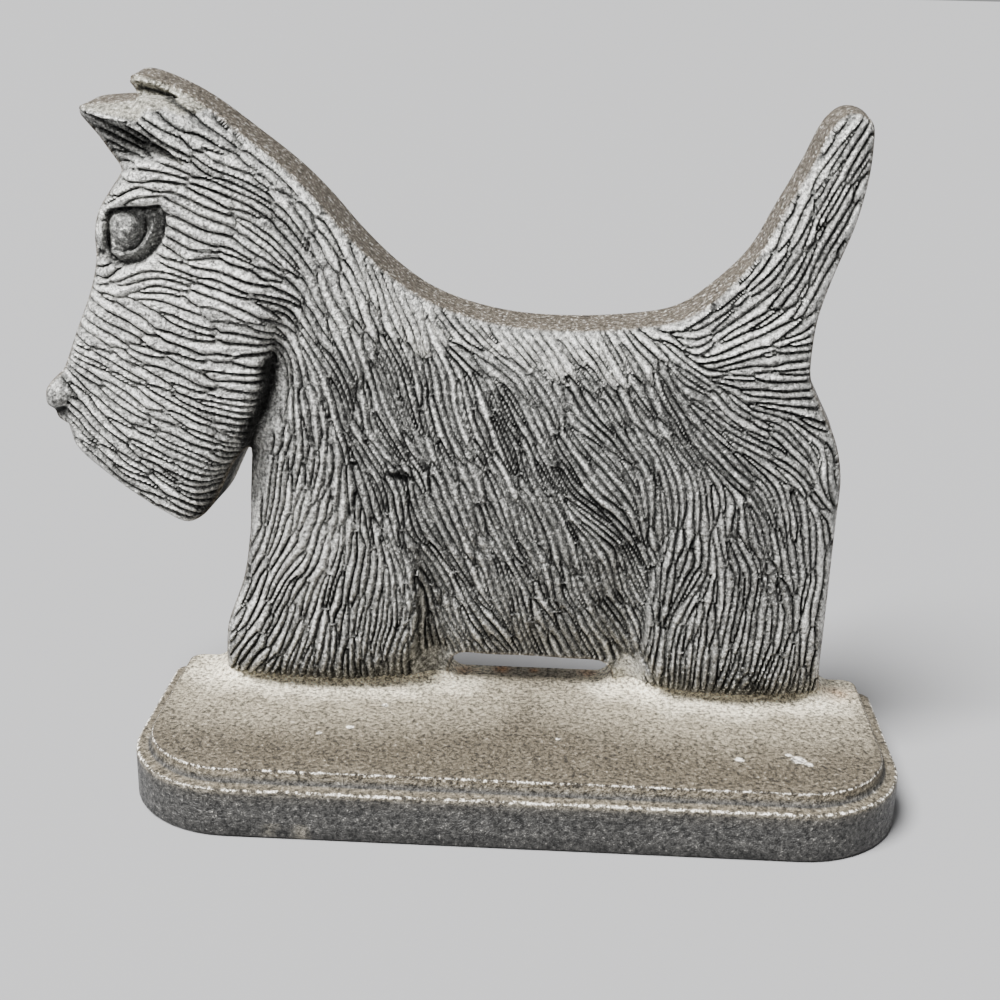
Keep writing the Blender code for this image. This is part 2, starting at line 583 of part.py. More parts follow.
def step_lines(layer):
    """The foot and the head of a layer's rolled edge, where that edge is a crisp step."""
    layer = np.array(layer, float)
    path = layer[:, :2]
    across = np.roll(path, -1, axis=0) - np.roll(path, 1, axis=0)
    across = np.stack([-across[:, 1], across[:, 0]], axis=1)
    across /= np.linalg.norm(across, axis=1, keepdims=True)
    across[~inside(path + across * STEP_FOOT, path)] *= -1
    lines = []
    for offset in (STEP_FOOT, STEP_HEAD):
        moved = path + across * (offset * layer[:, 2:3])
        crisp = layer[:, 2] < SOFT_FROM + SOFT_RUN
        first = int(np.argmin(crisp)) if not crisp.all() else 0
        run = []
        for k in list(range(first, len(moved))) + list(range(first + 1)):
            if crisp[k]:
                run.append(moved[k])
            elif len(run) > 1:
                lines.append(np.array(run))
                run = []
            else:
                run = []
        if len(run) > 1:
            lines.append(np.array(run))
    return lines


def resampled(line, spacing):
    """The same line with its points evenly spaced."""
    run = np.concatenate([[0], np.cumsum(np.linalg.norm(np.diff(line, axis=0), axis=1))])
    at = np.linspace(0, run[-1], max(2, round(run[-1] / spacing) + 1))
    return np.stack([np.interp(at, run, line[:, k]) for k in (0, 1)], axis=1)


def inward(path, distance):
    """A closed path moved inward, so that the casting draws from its mould."""
    ahead = np.roll(path, -1, axis=0) - path
    behind = path - np.roll(path, 1, axis=0)
    ahead /= np.linalg.norm(ahead, axis=1, keepdims=True)
    behind /= np.linalg.norm(behind, axis=1, keepdims=True)
    tangent = ahead + behind
    tangent /= np.linalg.norm(tangent, axis=1, keepdims=True)
    normal = np.stack([tangent[:, 1], -tangent[:, 0]], axis=1)
    return path + normal * distance


def in_metres(place, front):
    return Vector((place[0] * GRID, BACK_Y - front * GRID, PLATEAU_TOP + place[1] * GRID))


def dog_mesh():
    """The dog as one closed body: carved front, smooth edge band and flat back."""
    outline = smooth_closed_curve(OUTLINE, OUTLINE_SPACING)
    rim = inward(outline, DRAFT / GRID)
    coat = Coat(outline)
    nodes = np.stack(np.meshgrid(
        np.arange(coat.size[0]), np.arange(coat.size[1]), indexing="ij"
    ), axis=-1).reshape(-1, 2) * coat.CELL + coat.low
    open_coat = inside(nodes, rim) & (nearest_on_path(nodes, rim, closed=True)[0] > LOCK_RIM_GAP)
    open_coat &= ~bare_places(nodes) & (nodes[:, 1] > LOWEST_LOCK)
    open_coat = open_coat.reshape(coat.size)

    def free(u, v, part):
        node = coat.node(u, v)
        return bool(open_coat[node]) and coat.part[node] == part

    locks = Locks(coat, free, LOCK_SPACING, LOCK_STEP, LOCK_LENGTHS, SEED)
    places, faces = relief_net(rim, locks.strokes)
    front = thickness(places, outline)
    front -= carve_locks(places, locks.strokes)
    mesh = bmesh.new()
    verts = [mesh.verts.new(in_metres(place, depth)) for place, depth in zip(places, front)]
    for face in faces:
        mesh.faces.new([verts[k] for k in face])
    bmesh.ops.recalc_face_normals(mesh, faces=mesh.faces)
    rim_edges = [edge for edge in mesh.edges if edge.is_boundary]
    skirt = bmesh.ops.extrude_edge_only(mesh, edges=rim_edges)["geom"]
    back = [item for item in skirt if isinstance(item, bmesh.types.BMVert)]
    spots = np.array([(v.co.x / GRID, (v.co.z - PLATEAU_TOP) / GRID) for v in back])
    _, segment, share = nearest_on_path(spots, rim, closed=True)
    ends = np.roll(outline, -1, axis=0)
    for vert, k, t in zip(back, segment, share):
        vert.co = in_metres(outline[k] * (1 - t) + ends[k] * t, 0.0)
    back_edges = [item for item in skirt if isinstance(item, bmesh.types.BMEdge) and item.is_boundary]
    bmesh.ops.contextual_create(mesh, geom=back_edges)
    bmesh.ops.triangulate(mesh, faces=[face for face in mesh.faces if len(face.verts) > 4])
    bmesh.ops.recalc_face_normals(mesh, faces=mesh.faces)
    data = bpy.data.meshes.new("dog")
    mesh.to_mesh(data)
    mesh.free()
    return data


def plinth_outline(half_width, front, back, front_radius, back_radius):
    """Rounded rectangle seen from above, with its own radius at the front and back corners."""
    corners = [
        (half_width - front_radius, front + front_radius, front_radius, -90),
        (half_width - back_radius, back - back_radius, back_radius, 0),
        (-half_width + back_radius, back - back_radius, back_radius, 90),
        (-half_width + front_radius, front + front_radius, front_radius, 180),
    ]
    points = []
    for x, y, radius, first in corners:
        steps = CORNER_STEPS if radius > BACK_CORNER_RADIUS else BACK_CORNER_STEPS
        for k in range(steps + 1):
            turn = math.radians(first + 90 * k / steps)
            points.append((x + radius * math.cos(turn), y + radius * math.sin(turn)))
    return points


def slab(name, points, bottom, top, collection):
    """A flat plate with the given outline, its upper edges eased."""
    curve = bpy.data.curves.new(name, "CURVE")
    curve.dimensions = "2D"
    curve.fill_mode = "BOTH"
    curve.extrude = (top - bottom) / 2
    spline = curve.splines.new("POLY")
    spline.points.add(len(points) - 1)
    for point, (x, y) in zip(spline.points, points):
        point.co = (x, y, 0, 1)
    spline.use_cyclic_u = True
    outline = bpy.data.objects.new(name + "_outline", curve)
    outline.location.z = (bottom + top) / 2
    bpy.context.scene.collection.objects.link(outline)
    bpy.context.view_layer.update()
    evaluated = outline.evaluated_get(bpy.context.evaluated_depsgraph_get())
    data = bpy.data.meshes.new_from_object(evaluated)
    mesh = bmesh.new()
    mesh.from_mesh(data)
    bmesh.ops.remove_doubles(mesh, verts=mesh.verts, dist=WELD_DISTANCE)
    bmesh.ops.recalc_face_normals(mesh, faces=mesh.faces)
    mesh.to_mesh(data)
    mesh.free()
    plate = bpy.data.objects.new(name, data)
    plate.matrix_world = outline.matrix_world.copy()
    bpy.data.objects.remove(outline)
    collection.objects.link(plate)
    eased = plate.modifiers.new("eased upper edge", "BEVEL")
    eased.width = ARRIS
    eased.segments = ARRIS_STEPS
    eased.limit_method = "ANGLE"
    eased.angle_limit = math.radians(SHARPEST_EASED_ANGLE)
    return plate


def cast_iron():
    """Dark sand-cast iron."""
    iron = bpy.data.materials.new("cast_iron")
    iron.use_nodes = True
    shader = iron.node_tree.nodes["Principled BSDF"]
    shader.inputs["Base Color"].default_value = IRON_COLOUR
    shader.inputs["Roughness"].default_value = IRON_ROUGHNESS
    shader.inputs["Metallic"].default_value = IRON_METALLIC
    iron.diffuse_color = IRON_COLOUR
    return iron


def joined(target, other, name):
    """Adds another solid to the casting."""
    union = target.modifiers.new(name, "BOOLEAN")
    union.operation = "UNION"
    union.solver = "EXACT"
    union.object = other
    other.hide_render = True
    other.display_type = "WIRE"


def build():
    for item in list(bpy.data.objects):
        bpy.data.objects.remove(item)
    casting = bpy.data.collections.new("cast_iron_terrier")
    helpers = bpy.data.collections.new("joined_shapes")
    for collection in (casting, helpers):
        bpy.context.scene.collection.children.link(collection)
    half = PLINTH_WIDTH / 2
    wall = plinth_outline(half, -BACK_Y, BACK_Y, FRONT_CORNER_RADIUS, BACK_CORNER_RADIUS)
    plateau = plinth_outline(
        half - BORDER, BORDER - BACK_Y, BACK_Y, FRONT_CORNER_RADIUS - BORDER, BACK_CORNER_RADIUS
    )
    base = slab(CASTING_NAME, wall, 0.0, WALL_HEIGHT, casting)
    raised = slab("plateau", plateau, WALL_HEIGHT / 2, PLATEAU_TOP, helpers)
    dog = bpy.data.objects.new("dog", dog_mesh())
    helpers.objects.link(dog)
    joined(base, raised, "plateau")
    joined(base, dog, "dog")
    base.data.materials.append(cast_iron())
    base.color = IRON_COLOUR


build()
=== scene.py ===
"""Looks of the cast iron terrier on its stepped plinth, one flat-backed sand casting.

The dog is a relief carved over its flat back. A place on it is (u, v), along the dog and up from
the plateau, and its thickness is how far the carved front stands off the back. All three are in
millimetres there. Elsewhere lengths are in metres.
"""

import logging
import math
import random
from dataclasses import dataclass, field
from enum import Enum

import bpy
import numpy as np
from mathutils import Matrix, Vector


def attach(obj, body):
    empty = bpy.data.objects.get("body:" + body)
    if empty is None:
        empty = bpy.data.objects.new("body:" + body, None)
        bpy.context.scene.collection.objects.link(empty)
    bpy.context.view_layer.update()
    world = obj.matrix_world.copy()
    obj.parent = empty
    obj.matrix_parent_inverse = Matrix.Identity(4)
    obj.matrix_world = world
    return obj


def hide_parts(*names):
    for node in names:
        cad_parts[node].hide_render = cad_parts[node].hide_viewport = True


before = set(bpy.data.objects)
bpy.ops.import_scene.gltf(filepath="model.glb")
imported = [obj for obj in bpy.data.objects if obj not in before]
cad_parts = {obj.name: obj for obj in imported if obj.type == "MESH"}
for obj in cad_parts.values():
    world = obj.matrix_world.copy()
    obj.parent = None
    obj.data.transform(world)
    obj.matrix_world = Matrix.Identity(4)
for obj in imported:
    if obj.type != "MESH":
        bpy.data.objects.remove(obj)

LOG = logging.getLogger("terrier")
NODE = "terrier_on_plinth"
BODY = "root"
MM = 0.001
AROUND = "around"
SHARP_ANGLE = math.radians(75)
MERGE_DISTANCE = 0.004 * MM
RIM_CLEARANCE = 0.4

Socket = bpy.types.NodeSocket
Colour = tuple[float, float, float, float]

# Outline of the back face, clockwise from the far ear's tip. A third value marks a corner.
SEAT = 2.0
OUTLINE = [
    (-76.9, 121.9), (-74.5, 123.4), (-68.8, 121.9), (-62.0, 118.6), (-53.4, 112.6), (-45.0, 106.2),
    (-39.0, 100.4), (-33.7, 94.4), (-27.0, 88.0), (-20.0, 83.1), (-12.0, 80.0), (-2.0, 78.1),
    (10.0, 77.8), (21.8, 78.8), (29.0, 80.5), (35.0, 84.6), (42.2, 92.0), (46.8, 100.8),
    (51.2, 109.5), (54.5, 116.8), (57.5, 119.5), (60.7, 119.4), (63.2, 117.3), (63.7, 113.0),
    (63.3, 106.0), (61.7, 98.0), (58.8, 89.3), (56.6, 81.5), (55.5, 74.0), (55.8, 68.5),
    (58.2, 63.3), (61.6, 56.5), (63.2, 49.0), (63.1, 40.0), (62.9, 22.0), (62.8, 8.0),
    (63.3, 2.0), (63.8, -SEAT, 1), (19.0, -SEAT, 1), (18.6, 3.8), (16.8, 5.7), (9.7, 6.1),
    (-8.0, 6.4), (-12.4, 6.2), (-14.2, 4.2), (-14.6, -SEAT, 1), (-63.6, -SEAT, 1), (-62.6, 2.5),
    (-62.2, 7.5), (-61.5, 13.0), (-57.9, 23.5), (-56.4, 33.0), (-55.8, 44.0), (-55.4, 51.0, 1),
    (-57.4, 48.3), (-59.2, 44.6), (-61.2, 40.4), (-63.8, 37.2), (-67.4, 35.5), (-71.4, 36.9),
    (-79.0, 41.7), (-86.2, 47.2), (-89.8, 51.0), (-91.2, 55.2, 1), (-93.6, 56.8), (-95.2, 59.4),
    (-95.0, 62.7), (-93.4, 65.3), (-91.4, 67.2), (-88.1, 75.3), (-84.9, 83.6), (-83.7, 89.0),
    (-83.7, 93.6), (-82.7, 97.8), (-80.1, 102.0), (-77.8, 105.2, 1), (-82.0, 110.2), (-85.1, 113.8),
    (-86.1, 115.3), (-85.8, 116.9), (-84.1, 117.9), (-79.2, 118.5), (-74.8, 118.8, 1),
]

# Layers that stand in front of the body, as closed outlines of (u, v, softness of that edge).
HEAD = [
    (-110, 22, 1), (-62, 28, 1.8), (-57.3, 47, 1.6), (-54.6, 51.8, 1.6), (-52.4, 58.8, 1.5),
    (-50.7, 64.3, 1.1), (-49.8, 69.6, 1.0), (-49.2, 75.0, 2.6), (-48.0, 83.0, 6.0),
    (-47.0, 92.0, 8.0), (-50.0, 102.0, 8.0), (-55.0, 110.0, 5.0), (-60.0, 115.0, 2.2),
    (-63.5, 117.6, 1.0), (-69.0, 118.9, 0.7), (-76.0, 118.9, 0.7), (-110, 119.5, 0.7),
]
FORELEG = [
    (-75, -6, 1), (-60, 1.0, 1.2), (-34, 0.2, 1.2), (-26.0, 2.2, 1.0), (-23.0, 5.3, 0.8),
    (-21.4, 9.5, 0.8), (-20.6, 16.0, 0.8), (-20.2, 24.3, 1.0), (-22.1, 38.0, 1.4),
    (-23.7, 47.0, 3.0), (-28.0, 57.0, 7.0), (-40.0, 64.0, 9.0), (-55.0, 60.0, 9.0), (-75, 50, 9),
]
HINDLEG = [
    (75, -6, 1), (60.5, 1.0, 1.2), (48.0, 0.2, 1.2), (31.0, 0.8, 1.0), (27.8, 4.0, 0.8),
    (25.2, 10.7, 0.8), (25.4, 20.5, 0.9), (26.8, 30.5, 1.2), (28.8, 37.5, 1.8), (33.0, 49.0, 4.0),
    (37.0, 57.0, 8.0), (46.0, 63.0, 9.0), (60.0, 60.0, 9.0), (75, 50, 9),
]
EAR_HOLLOW = [
    (-92, 118.4, 0.6), (-82.6, 115.9, 0.6), (-77.0, 114.7, 0.6), (-72.4, 113.0, 0.7),
    (-67.5, 110.0, 0.8), (-63.8, 106.8, 1.0), (-68.0, 107.9, 1.0), (-72.7, 107.6, 1.0),
    (-75.6, 105.6, 1.0), (-90, 104.0, 1.0),
]
EAR_TOP = [
    (-92, 126, 0.5), (-92, 117.0, 0.5), (-82.0, 115.9, 0.5), (-76.6, 115.0, 0.5),
    (-72.6, 114.4, 0.6), (-71.6, 116.0, 0.6), (-68.0, 116.6, 0.6), (-65.4, 115.6, 0.6),
    (-62.6, 115.6, 0.6), (-60.4, 117.0, 0.6), (-59, 126, 0.5),
]
EYE_OPENING = [
    (-80.2, 96.2, 0.3), (-79.3, 98.1, 0.3), (-77.8, 98.9, 0.3), (-74.9, 99.3, 0.3),
    (-72.0, 99.5, 0.3), (-68.9, 100.0, 0.3), (-67.9, 98.0, 0.5), (-68.2, 94.5, 0.6),
    (-69.5, 91.5, 0.6), (-72.2, 88.9, 0.6), (-75.6, 87.9, 0.6), (-79.2, 88.2, 0.5),
    (-80.8, 88.7, 0.4), (-80.7, 92.6, 0.3),
]
THROAT = [
    (-49.6, 70.5, 0.8), (-47.0, 66.0, 0.8), (-48.6, 58.0, 0.8), (-50.6, 50.0, 0.8),
    (-52.4, 42.0, 0.8), (-56.5, 38.0, 0.8), (-58.0, 48.0, 0.8), (-53.5, 58.0, 0.8),
]
EYE_CENTRE = (-76.3, 95.4)
EYE_RADIUS = 3.2

# Swellings of a layer: (u, v, radius along u, radius along v, height).
BODY_SWELLS = [
    (0, 50, 36, 22, 3.6), (-36, 74, 14, 16, 1.6), (44, 50, 18, 18, 1.6), (2, 6, 20, 10, -3.0),
    (-51, 56, 7, 16, -3.0), (-38, 92, 16, 14, 1.6), (-17, 17, 6, 15, -2.2), (21, 16, 6, 16, -2.4),
    (-17, 4, 5, 5, -4.2), (22.3, 3, 4, 7, -4.6),
]
HEAD_SWELLS = [
    (-66, 74, 15, 18, 2.6), (-63, 52, 11, 13, 2.4), (-74, 103, 9, 4, 1.2), (-88, 62, 7, 8, -2.2),
    (-66, 116, 14, 5, -1.5),
]

# Where handling has brightened the coat and light from above is painted on it (above 0), and where
# it stays dull and shade is painted on it, as on the feet's undersides and the hind leg (below 0),
# in the same form.
RUBBED_AND_PAINTED_LIGHT = [
    (-70, 88, 26, 44, 0.95), (-40, 30, 15, 18, 0.95), (46, 30, 16, 30, -1.10),
    (38, 62, 14, 12, -0.60), (0, 10, 18, 10, 0.50), (-42, 1, 26, 9, -1.80), (45, 1, 22, 9, -1.30),
    (-66, 118, 12, 5, -0.90), (50, 100, 14, 22, -0.30), (-26, 85, 14, 9, 0.60),
    (6, 73, 26, 5, 0.55),
]

# Rounding of the feet, in the same form.
FOOT_SWELLS = [
    (-64, -1, 7.0, 9, -2.6), (-22, -1, 5.0, 8, -3.0), (-42, 0, 14, 9, 2.8), (65, -1, 8.0, 9, -4.0),
    (24.5, -1, 5.0, 8, -2.6), (45, 0, 13, 9, 2.4),
]

# Carved lines: (width, height, [points]). A negative height is cut in, a positive one stands out.
FEATURES = [
    (0.42, -0.7, [(-79.6, 97.2), (-80.0, 95.6), (-80.1, 94.0)]),
    (0.58, -1.0, [(-80.1, 93.4), (-80.0, 91.6), (-79.4, 90.0), (-78.7, 89.2)]),
    (0.55, -1.2, [(-80.0, 97.2), (-78.6, 98.4), (-75.6, 98.9), (-72.0, 99.1), (-69.5, 99.6)]),
    (1.3, 0.9, [(-79.2, 99.3), (-77.0, 100.6), (-73.8, 101.2), (-70.2, 101.0)]),
    (0.7, 1.6, [(-70.4, 98.0), (-70.7, 95.1), (-72.2, 92.5), (-74.5, 91.0), (-76.9, 90.4),
                (-79.0, 90.7)]),
    (0.45, -0.8, [(-72.5, 97.2), (-72.3, 94.5), (-73.8, 91.9), (-76.6, 90.9), (-79.0, 91.2)]),
    (0.8, -0.7, [(-68.5, 98.4), (-68.9, 94.2), (-70.6, 91.4), (-73.4, 89.2), (-77.0, 88.5),
                 (-79.8, 88.8)]),
    (0.5, 1.0, [(-74.6, 121.6), (-71.1, 121.2), (-68.7, 120.1), (-65.9, 118.6), (-63.0, 116.9)]),
    (0.42, -0.9, [(-74.0, 120.3), (-70.8, 119.7), (-68.0, 118.6), (-65.6, 117.4), (-63.0, 115.8)]),
    (0.9, 0.9, [(-83.0, 116.8), (-77.0, 116.0), (-72.0, 114.4), (-66.0, 111.2)]),
    (1.1, -1.8, [(-94.5, 57.9), (-92.9, 58.2), (-91.3, 58.9)]),
    (0.6, -0.4, [(-90.8, 57.4), (-90.2, 60.4), (-90.2, 63.5)]),
    (2.0, 1.5, [(-92.8, 62.6), (-92.2, 61.0)]),
    (1.1, -1.3, [(-25.5, 47.6), (-23.6, 46.8)]),
]

# Neck and tail's root, where the edge band is broader, in the same form.
BROAD_NECK = [(-38, 98, 16, 16, 1.0)]
TAIL_ROOT = [(36, 85, 9, 9, 1.0)]

# Plain hollows between the feet and the gap under the belly: (u, half width).
HOLLOWS = ((-17.6, 4.6), (22.6, 3.6))
HOLLOW_HEIGHT = 7.5

# Where each foot meets the plateau, as its ends along the dog.
FEET = ((-63.2, -15.0), (19.2, 63.4))

# Marks on the plateau: (x, y, radius) in millimetres from the middle of the plinth.
CHIPS = [
    (54.9, -10.4, 1.5), (56.8, -12.0, 0.9), (53.2, -8.6, 0.7), (43.6, -11.3, 1.0),
    (-32.7, -4.7, 0.8), (-27.0, 5.4, 0.8), (-38.4, -7.6, 0.6), (8.6, -6.0, 0.6),
]
RUST = [
    (-11.9, 23.6, 3.6), (-4.0, 24.6, 2.8), (3.0, 24.5, 1.6), (14.0, 24.6, 3.4), (67.0, 19.0, 5.0),
]

# Line under the back of the beard, where the shade of its undercut is painted dark.
BEARD_SHADE = [
    (-49.9, 69.8), (-50.4, 65.0), (-51.8, 60.6), (-53.8, 56.2), (-55.0, 51.6), (-57.2, 47.2),
    (-59.4, 42.4), (-63.6, 37.6),
]

# Comb strokes of the coat, root to tip, by the part of the coat that they comb.
COMB = {
    "head": [
        [(-81, 98), (-73, 103), (-67, 103), (-51, 94)], [(-76, 105), (-68, 107), (-53, 103)],
        [(-69, 97), (-51, 90)], [(-70, 93), (-64, 90), (-59, 91), (-51, 87)],
        [(-82, 85), (-72, 89), (-59, 87), (-48, 82)], [(-84, 81), (-69, 75), (-49, 72)],
        [(-86, 73), (-75, 67), (-53, 61)], [(-87, 69), (-77, 64), (-73, 61), (-58, 56)],
        [(-90, 66), (-83, 59), (-73, 56), (-59, 49)], [(-90, 60), (-79, 51), (-65, 44), (-62, 44)],
        [(-90, 55), (-78, 45), (-65, 39)], [(-83, 115), (-69, 107)],
        [(-82, 117), (-71, 117), (-59, 110)], [(-68, 113), (-60, 106), (-51, 104)],
    ],
    "body": [
        [(-58, 116), (-47, 107), (-38, 96)], [(-51, 102), (-44, 91), (-39, 81)],
        [(-39, 101), (-32, 90), (-25, 72), (-23, 65)], [(-35, 98), (-21, 75), (-15, 53)],
        [(-48, 101), (-36, 79), (-30, 57)], [(-55, 86), (-44, 80), (-38, 70), (-32, 57), (-24, 49)],
        [(-56, 78), (-47, 74), (-45, 70), (-41, 54)], [(-50, 68), (-53, 44), (-54, 34), (-59, 19)],
        [(-46, 68), (-46, 54), (-50, 31), (-59, 10)], [(-40, 51), (-44, 32), (-57, 6)],
        [(-36, 52), (-37, 34), (-46, 4)], [(-34, 51), (-30, 32), (-33, 3)],
        [(-36, 57), (-26, 44), (-21, 24)], [(-30, 41), (-23, 27), (-22, 19), (-25, 5)],
        [(-20, 84), (-11, 74)], [(-14, 77), (-2, 67), (9, 46), (20, 35)], [(-19, 69), (1, 11)],
        [(-2, 78), (10, 60), (16, 57)], [(-6, 55), (13, 12)],
        [(6, 78), (12, 72), (25, 53), (27, 38)], [(-24, 48), (-20, 38), (-11, 22), (-3, 10)],
        [(-20, 29), (-13, 13)], [(13, 39), (18, 33), (26, 12)], [(4, 49), (19, 13)],
        [(12, 78), (23, 62)], [(18, 76), (24, 71), (33, 51)],
        [(21, 80), (29, 79), (40, 90), (48, 104)], [(33, 74), (44, 82), (62, 110)],
        [(35, 78), (50, 94), (61, 115)], [(40, 74), (51, 81), (61, 104)], [(45, 96), (57, 118)],
        [(34, 71), (54, 74)], [(36, 70), (55, 67)], [(21, 78), (26, 76), (40, 64)],
    ],
    "hindleg": [
        [(31, 65), (51, 52), (60, 42)], [(27, 60), (44, 47), (48, 41), (55, 22), (55, 10)],
        [(33, 50), (29, 31), (27, 9)], [(35, 49), (37, 31), (30, 19), (29, 4)],
        [(37, 44), (41, 24), (37, 3)], [(42, 44), (41, 38), (45, 31), (46, 24), (40, 4)],
        [(45, 45), (49, 37), (51, 29), (48, 5)], [(51, 47), (57, 29), (54, 10)],
        [(56, 47), (60, 27), (58, 8)], [(54, 64), (59, 59), (61, 45)], [(43, 69), (54, 67)],
        [(49, 67), (59, 58)],
    ],
}


def smoothstep(value: np.ndarray) -> np.ndarray:
    """Eases a value from 0 to 1, flat at both ends."""
    value = np.clip(value, 0.0, 1.0)
    return value * value * (3 - 2 * value)


def smooth_closed_curve(controls: list, spacing: float) -> np.ndarray:
    """Lays points on a curve through the controls and keeps its corners.

    Args:
        controls: Places, each with a third value where it is a corner.
        spacing: About how far apart the points are.

    Returns:
        The points, one row each.
    """
    points = []
    count = len(controls)
    for i in range(count):
        p0, p1, p2, p3 = (np.array(controls[(i + k) % count][:2], float) for k in (-1, 0, 1, 2))
        length = np.linalg.norm(p2 - p1)
        before, after = np.linalg.norm(p1 - p0), np.linalg.norm(p3 - p2)
        sharp_start, sharp_end = len(controls[i]) > 2, len(controls[(i + 1) % count]) > 2
        m1 = (p2 - p1) if sharp_start else (p2 - p0) * length / (length + before)
        m2 = (p2 - p1) if sharp_end else (p3 - p1) * length / (length + after)
        pieces = max(1, round(length / spacing))
        for t in np.arange(pieces) / pieces:
            a, b = 2 * t**3 - 3 * t**2 + 1, t**3 - 2 * t**2 + t
            c, d = -2 * t**3 + 3 * t**2, t**3 - t**2
            points.append(a * p1 + b * m1 + c * p2 + d * m2)
    return np.array(points)


def nearest_on_path(
    points: np.ndarray, path: np.ndarray, closed: bool = False
) -> tuple[np.ndarray, np.ndarray, np.ndarray]:
    """Finds the nearest place of a path to each point.

    Args:
        points: Places, one row each.
        path: Corners of the path.
        closed: Whether its last corner joins its first.

    Returns:
        Distance, segment number and share of the segment.
    """
    start = path if closed else path[:-1]
    end = np.roll(path, -1, axis=0) if closed else path[1:]
    along = end - start
    squared = np.maximum((along**2).sum(axis=1), 1e-12)
    distance = np.empty(len(points))
    segment = np.empty(len(points), int)
    share = np.empty(len(points))
    block = max(1, 2_000_000 // len(start))
    for first in range(0, len(points), block):
        part = points[first : first + block]
        dx = part[:, 0][:, None] - start[:, 0]
        dy = part[:, 1][:, None] - start[:, 1]
        t = np.clip((dx * along[:, 0] + dy * along[:, 1]) / squared, 0.0, 1.0)
        gap = (dx - t * along[:, 0]) ** 2 + (dy - t * along[:, 1]) ** 2
        best = gap.argmin(axis=1)
        rows = np.arange(len(part))
        distance[first : first + block] = np.sqrt(gap[rows, best])
        segment[first : first + block] = best
        share[first : first + block] = t[rows, best]
    return distance, segment, share


def inside(points: np.ndarray, path: np.ndarray) -> np.ndarray:
    """Tells which points lie inside a closed path.

    Args:
        points: Places, one row each.
        path: Corners of the path.

    Returns:
        True for each point inside.
    """
    x, y = points[:, 0], points[:, 1]
    found = np.zeros(len(points), bool)
    for (ax, ay), (bx, by) in zip(path, np.roll(path, -1, axis=0)):
        crosses = (ay > y) != (by > y)
        at = (bx - ax) * (y - ay) / (by - ay if by != ay else 1e-12) + ax
        found ^= crosses & (x < at)
    return found


def inward(path: np.ndarray, distance: float) -> np.ndarray:
    """Moves a clockwise closed path inward.

    Args:
        path: Corners of the path.
        distance: How far to move it.

    Returns:
        The new corners.
    """
    ahead = np.roll(path, -1, axis=0) - path
    behind = path - np.roll(path, 1, axis=0)
    ahead /= np.linalg.norm(ahead, axis=1, keepdims=True)
    behind /= np.linalg.norm(behind, axis=1, keepdims=True)
    tangent = ahead + behind
    tangent /= np.linalg.norm(tangent, axis=1, keepdims=True)
    return path + np.stack([tangent[:, 1], -tangent[:, 0]], axis=1) * distance


def waves(points: np.ndarray, size: float, seed: int) -> np.ndarray:
    """Smooth seeded unevenness between -1 and 1.

    Args:
        points: Places, one row each, in two or three directions.
        size: Distance over which it changes.
        seed: Seed of the draw.

    Returns:
        One value for each point.
    """
    draw = np.random.default_rng(seed)
    scaled = points / size
    low = np.floor(scaled.min(axis=0)).astype(int)
    cell = np.floor(scaled).astype(int) - low
    table = draw.uniform(-1, 1, cell.max(axis=0) + 2)
    share = smoothstep(scaled - np.floor(scaled))
    total = np.zeros(len(points))
    for corner in np.ndindex(*(2,) * points.shape[1]):
        weight = np.ones(len(points))
        for axis, side in enumerate(corner):
            weight *= share[:, axis] if side else 1 - share[:, axis]
        total += weight * table[tuple((cell + corner).T)]
    return total


def layer_share(points: np.ndarray, layer: list) -> np.ndarray:
    """Tells how far each point belongs to a layer.

    Args:
        points: Places, one row each.
        layer: Outline of the layer, with the softness of its edge.

    Returns:
        A share for each point, from 0 outside to 1 inside.
    """
    outline = np.array(layer, float)
    distance, segment, share = nearest_on_path(points, outline[:, :2], closed=True)
    soft = outline[segment, 2] * (1 - share) + np.roll(outline[:, 2], -1)[segment] * share
    signed = np.where(inside(points, outline[:, :2]), distance, -distance)
    blended = smoothstep(0.5 + signed / (2 * soft))
    rolled = np.sqrt(1 - (1 - np.clip(signed / (3 * soft), 0, 1)) ** 2)
    return rolled + (blended - rolled) * smoothstep((soft - 1.8) / 2.5)


def swelling(points: np.ndarray, swells: list) -> np.ndarray:
    """Adds up rounded swellings.

    Args:
        points: Places, one row each.
        swells: The swellings.

    Returns:
        Their height at each point.
    """
    total = np.zeros(len(points))
    for u, v, wide, high, height in swells:
        total += height * np.exp(
            -(((points[:, 0] - u) / wide) ** 2) - ((points[:, 1] - v) / high) ** 2
        )
    return total


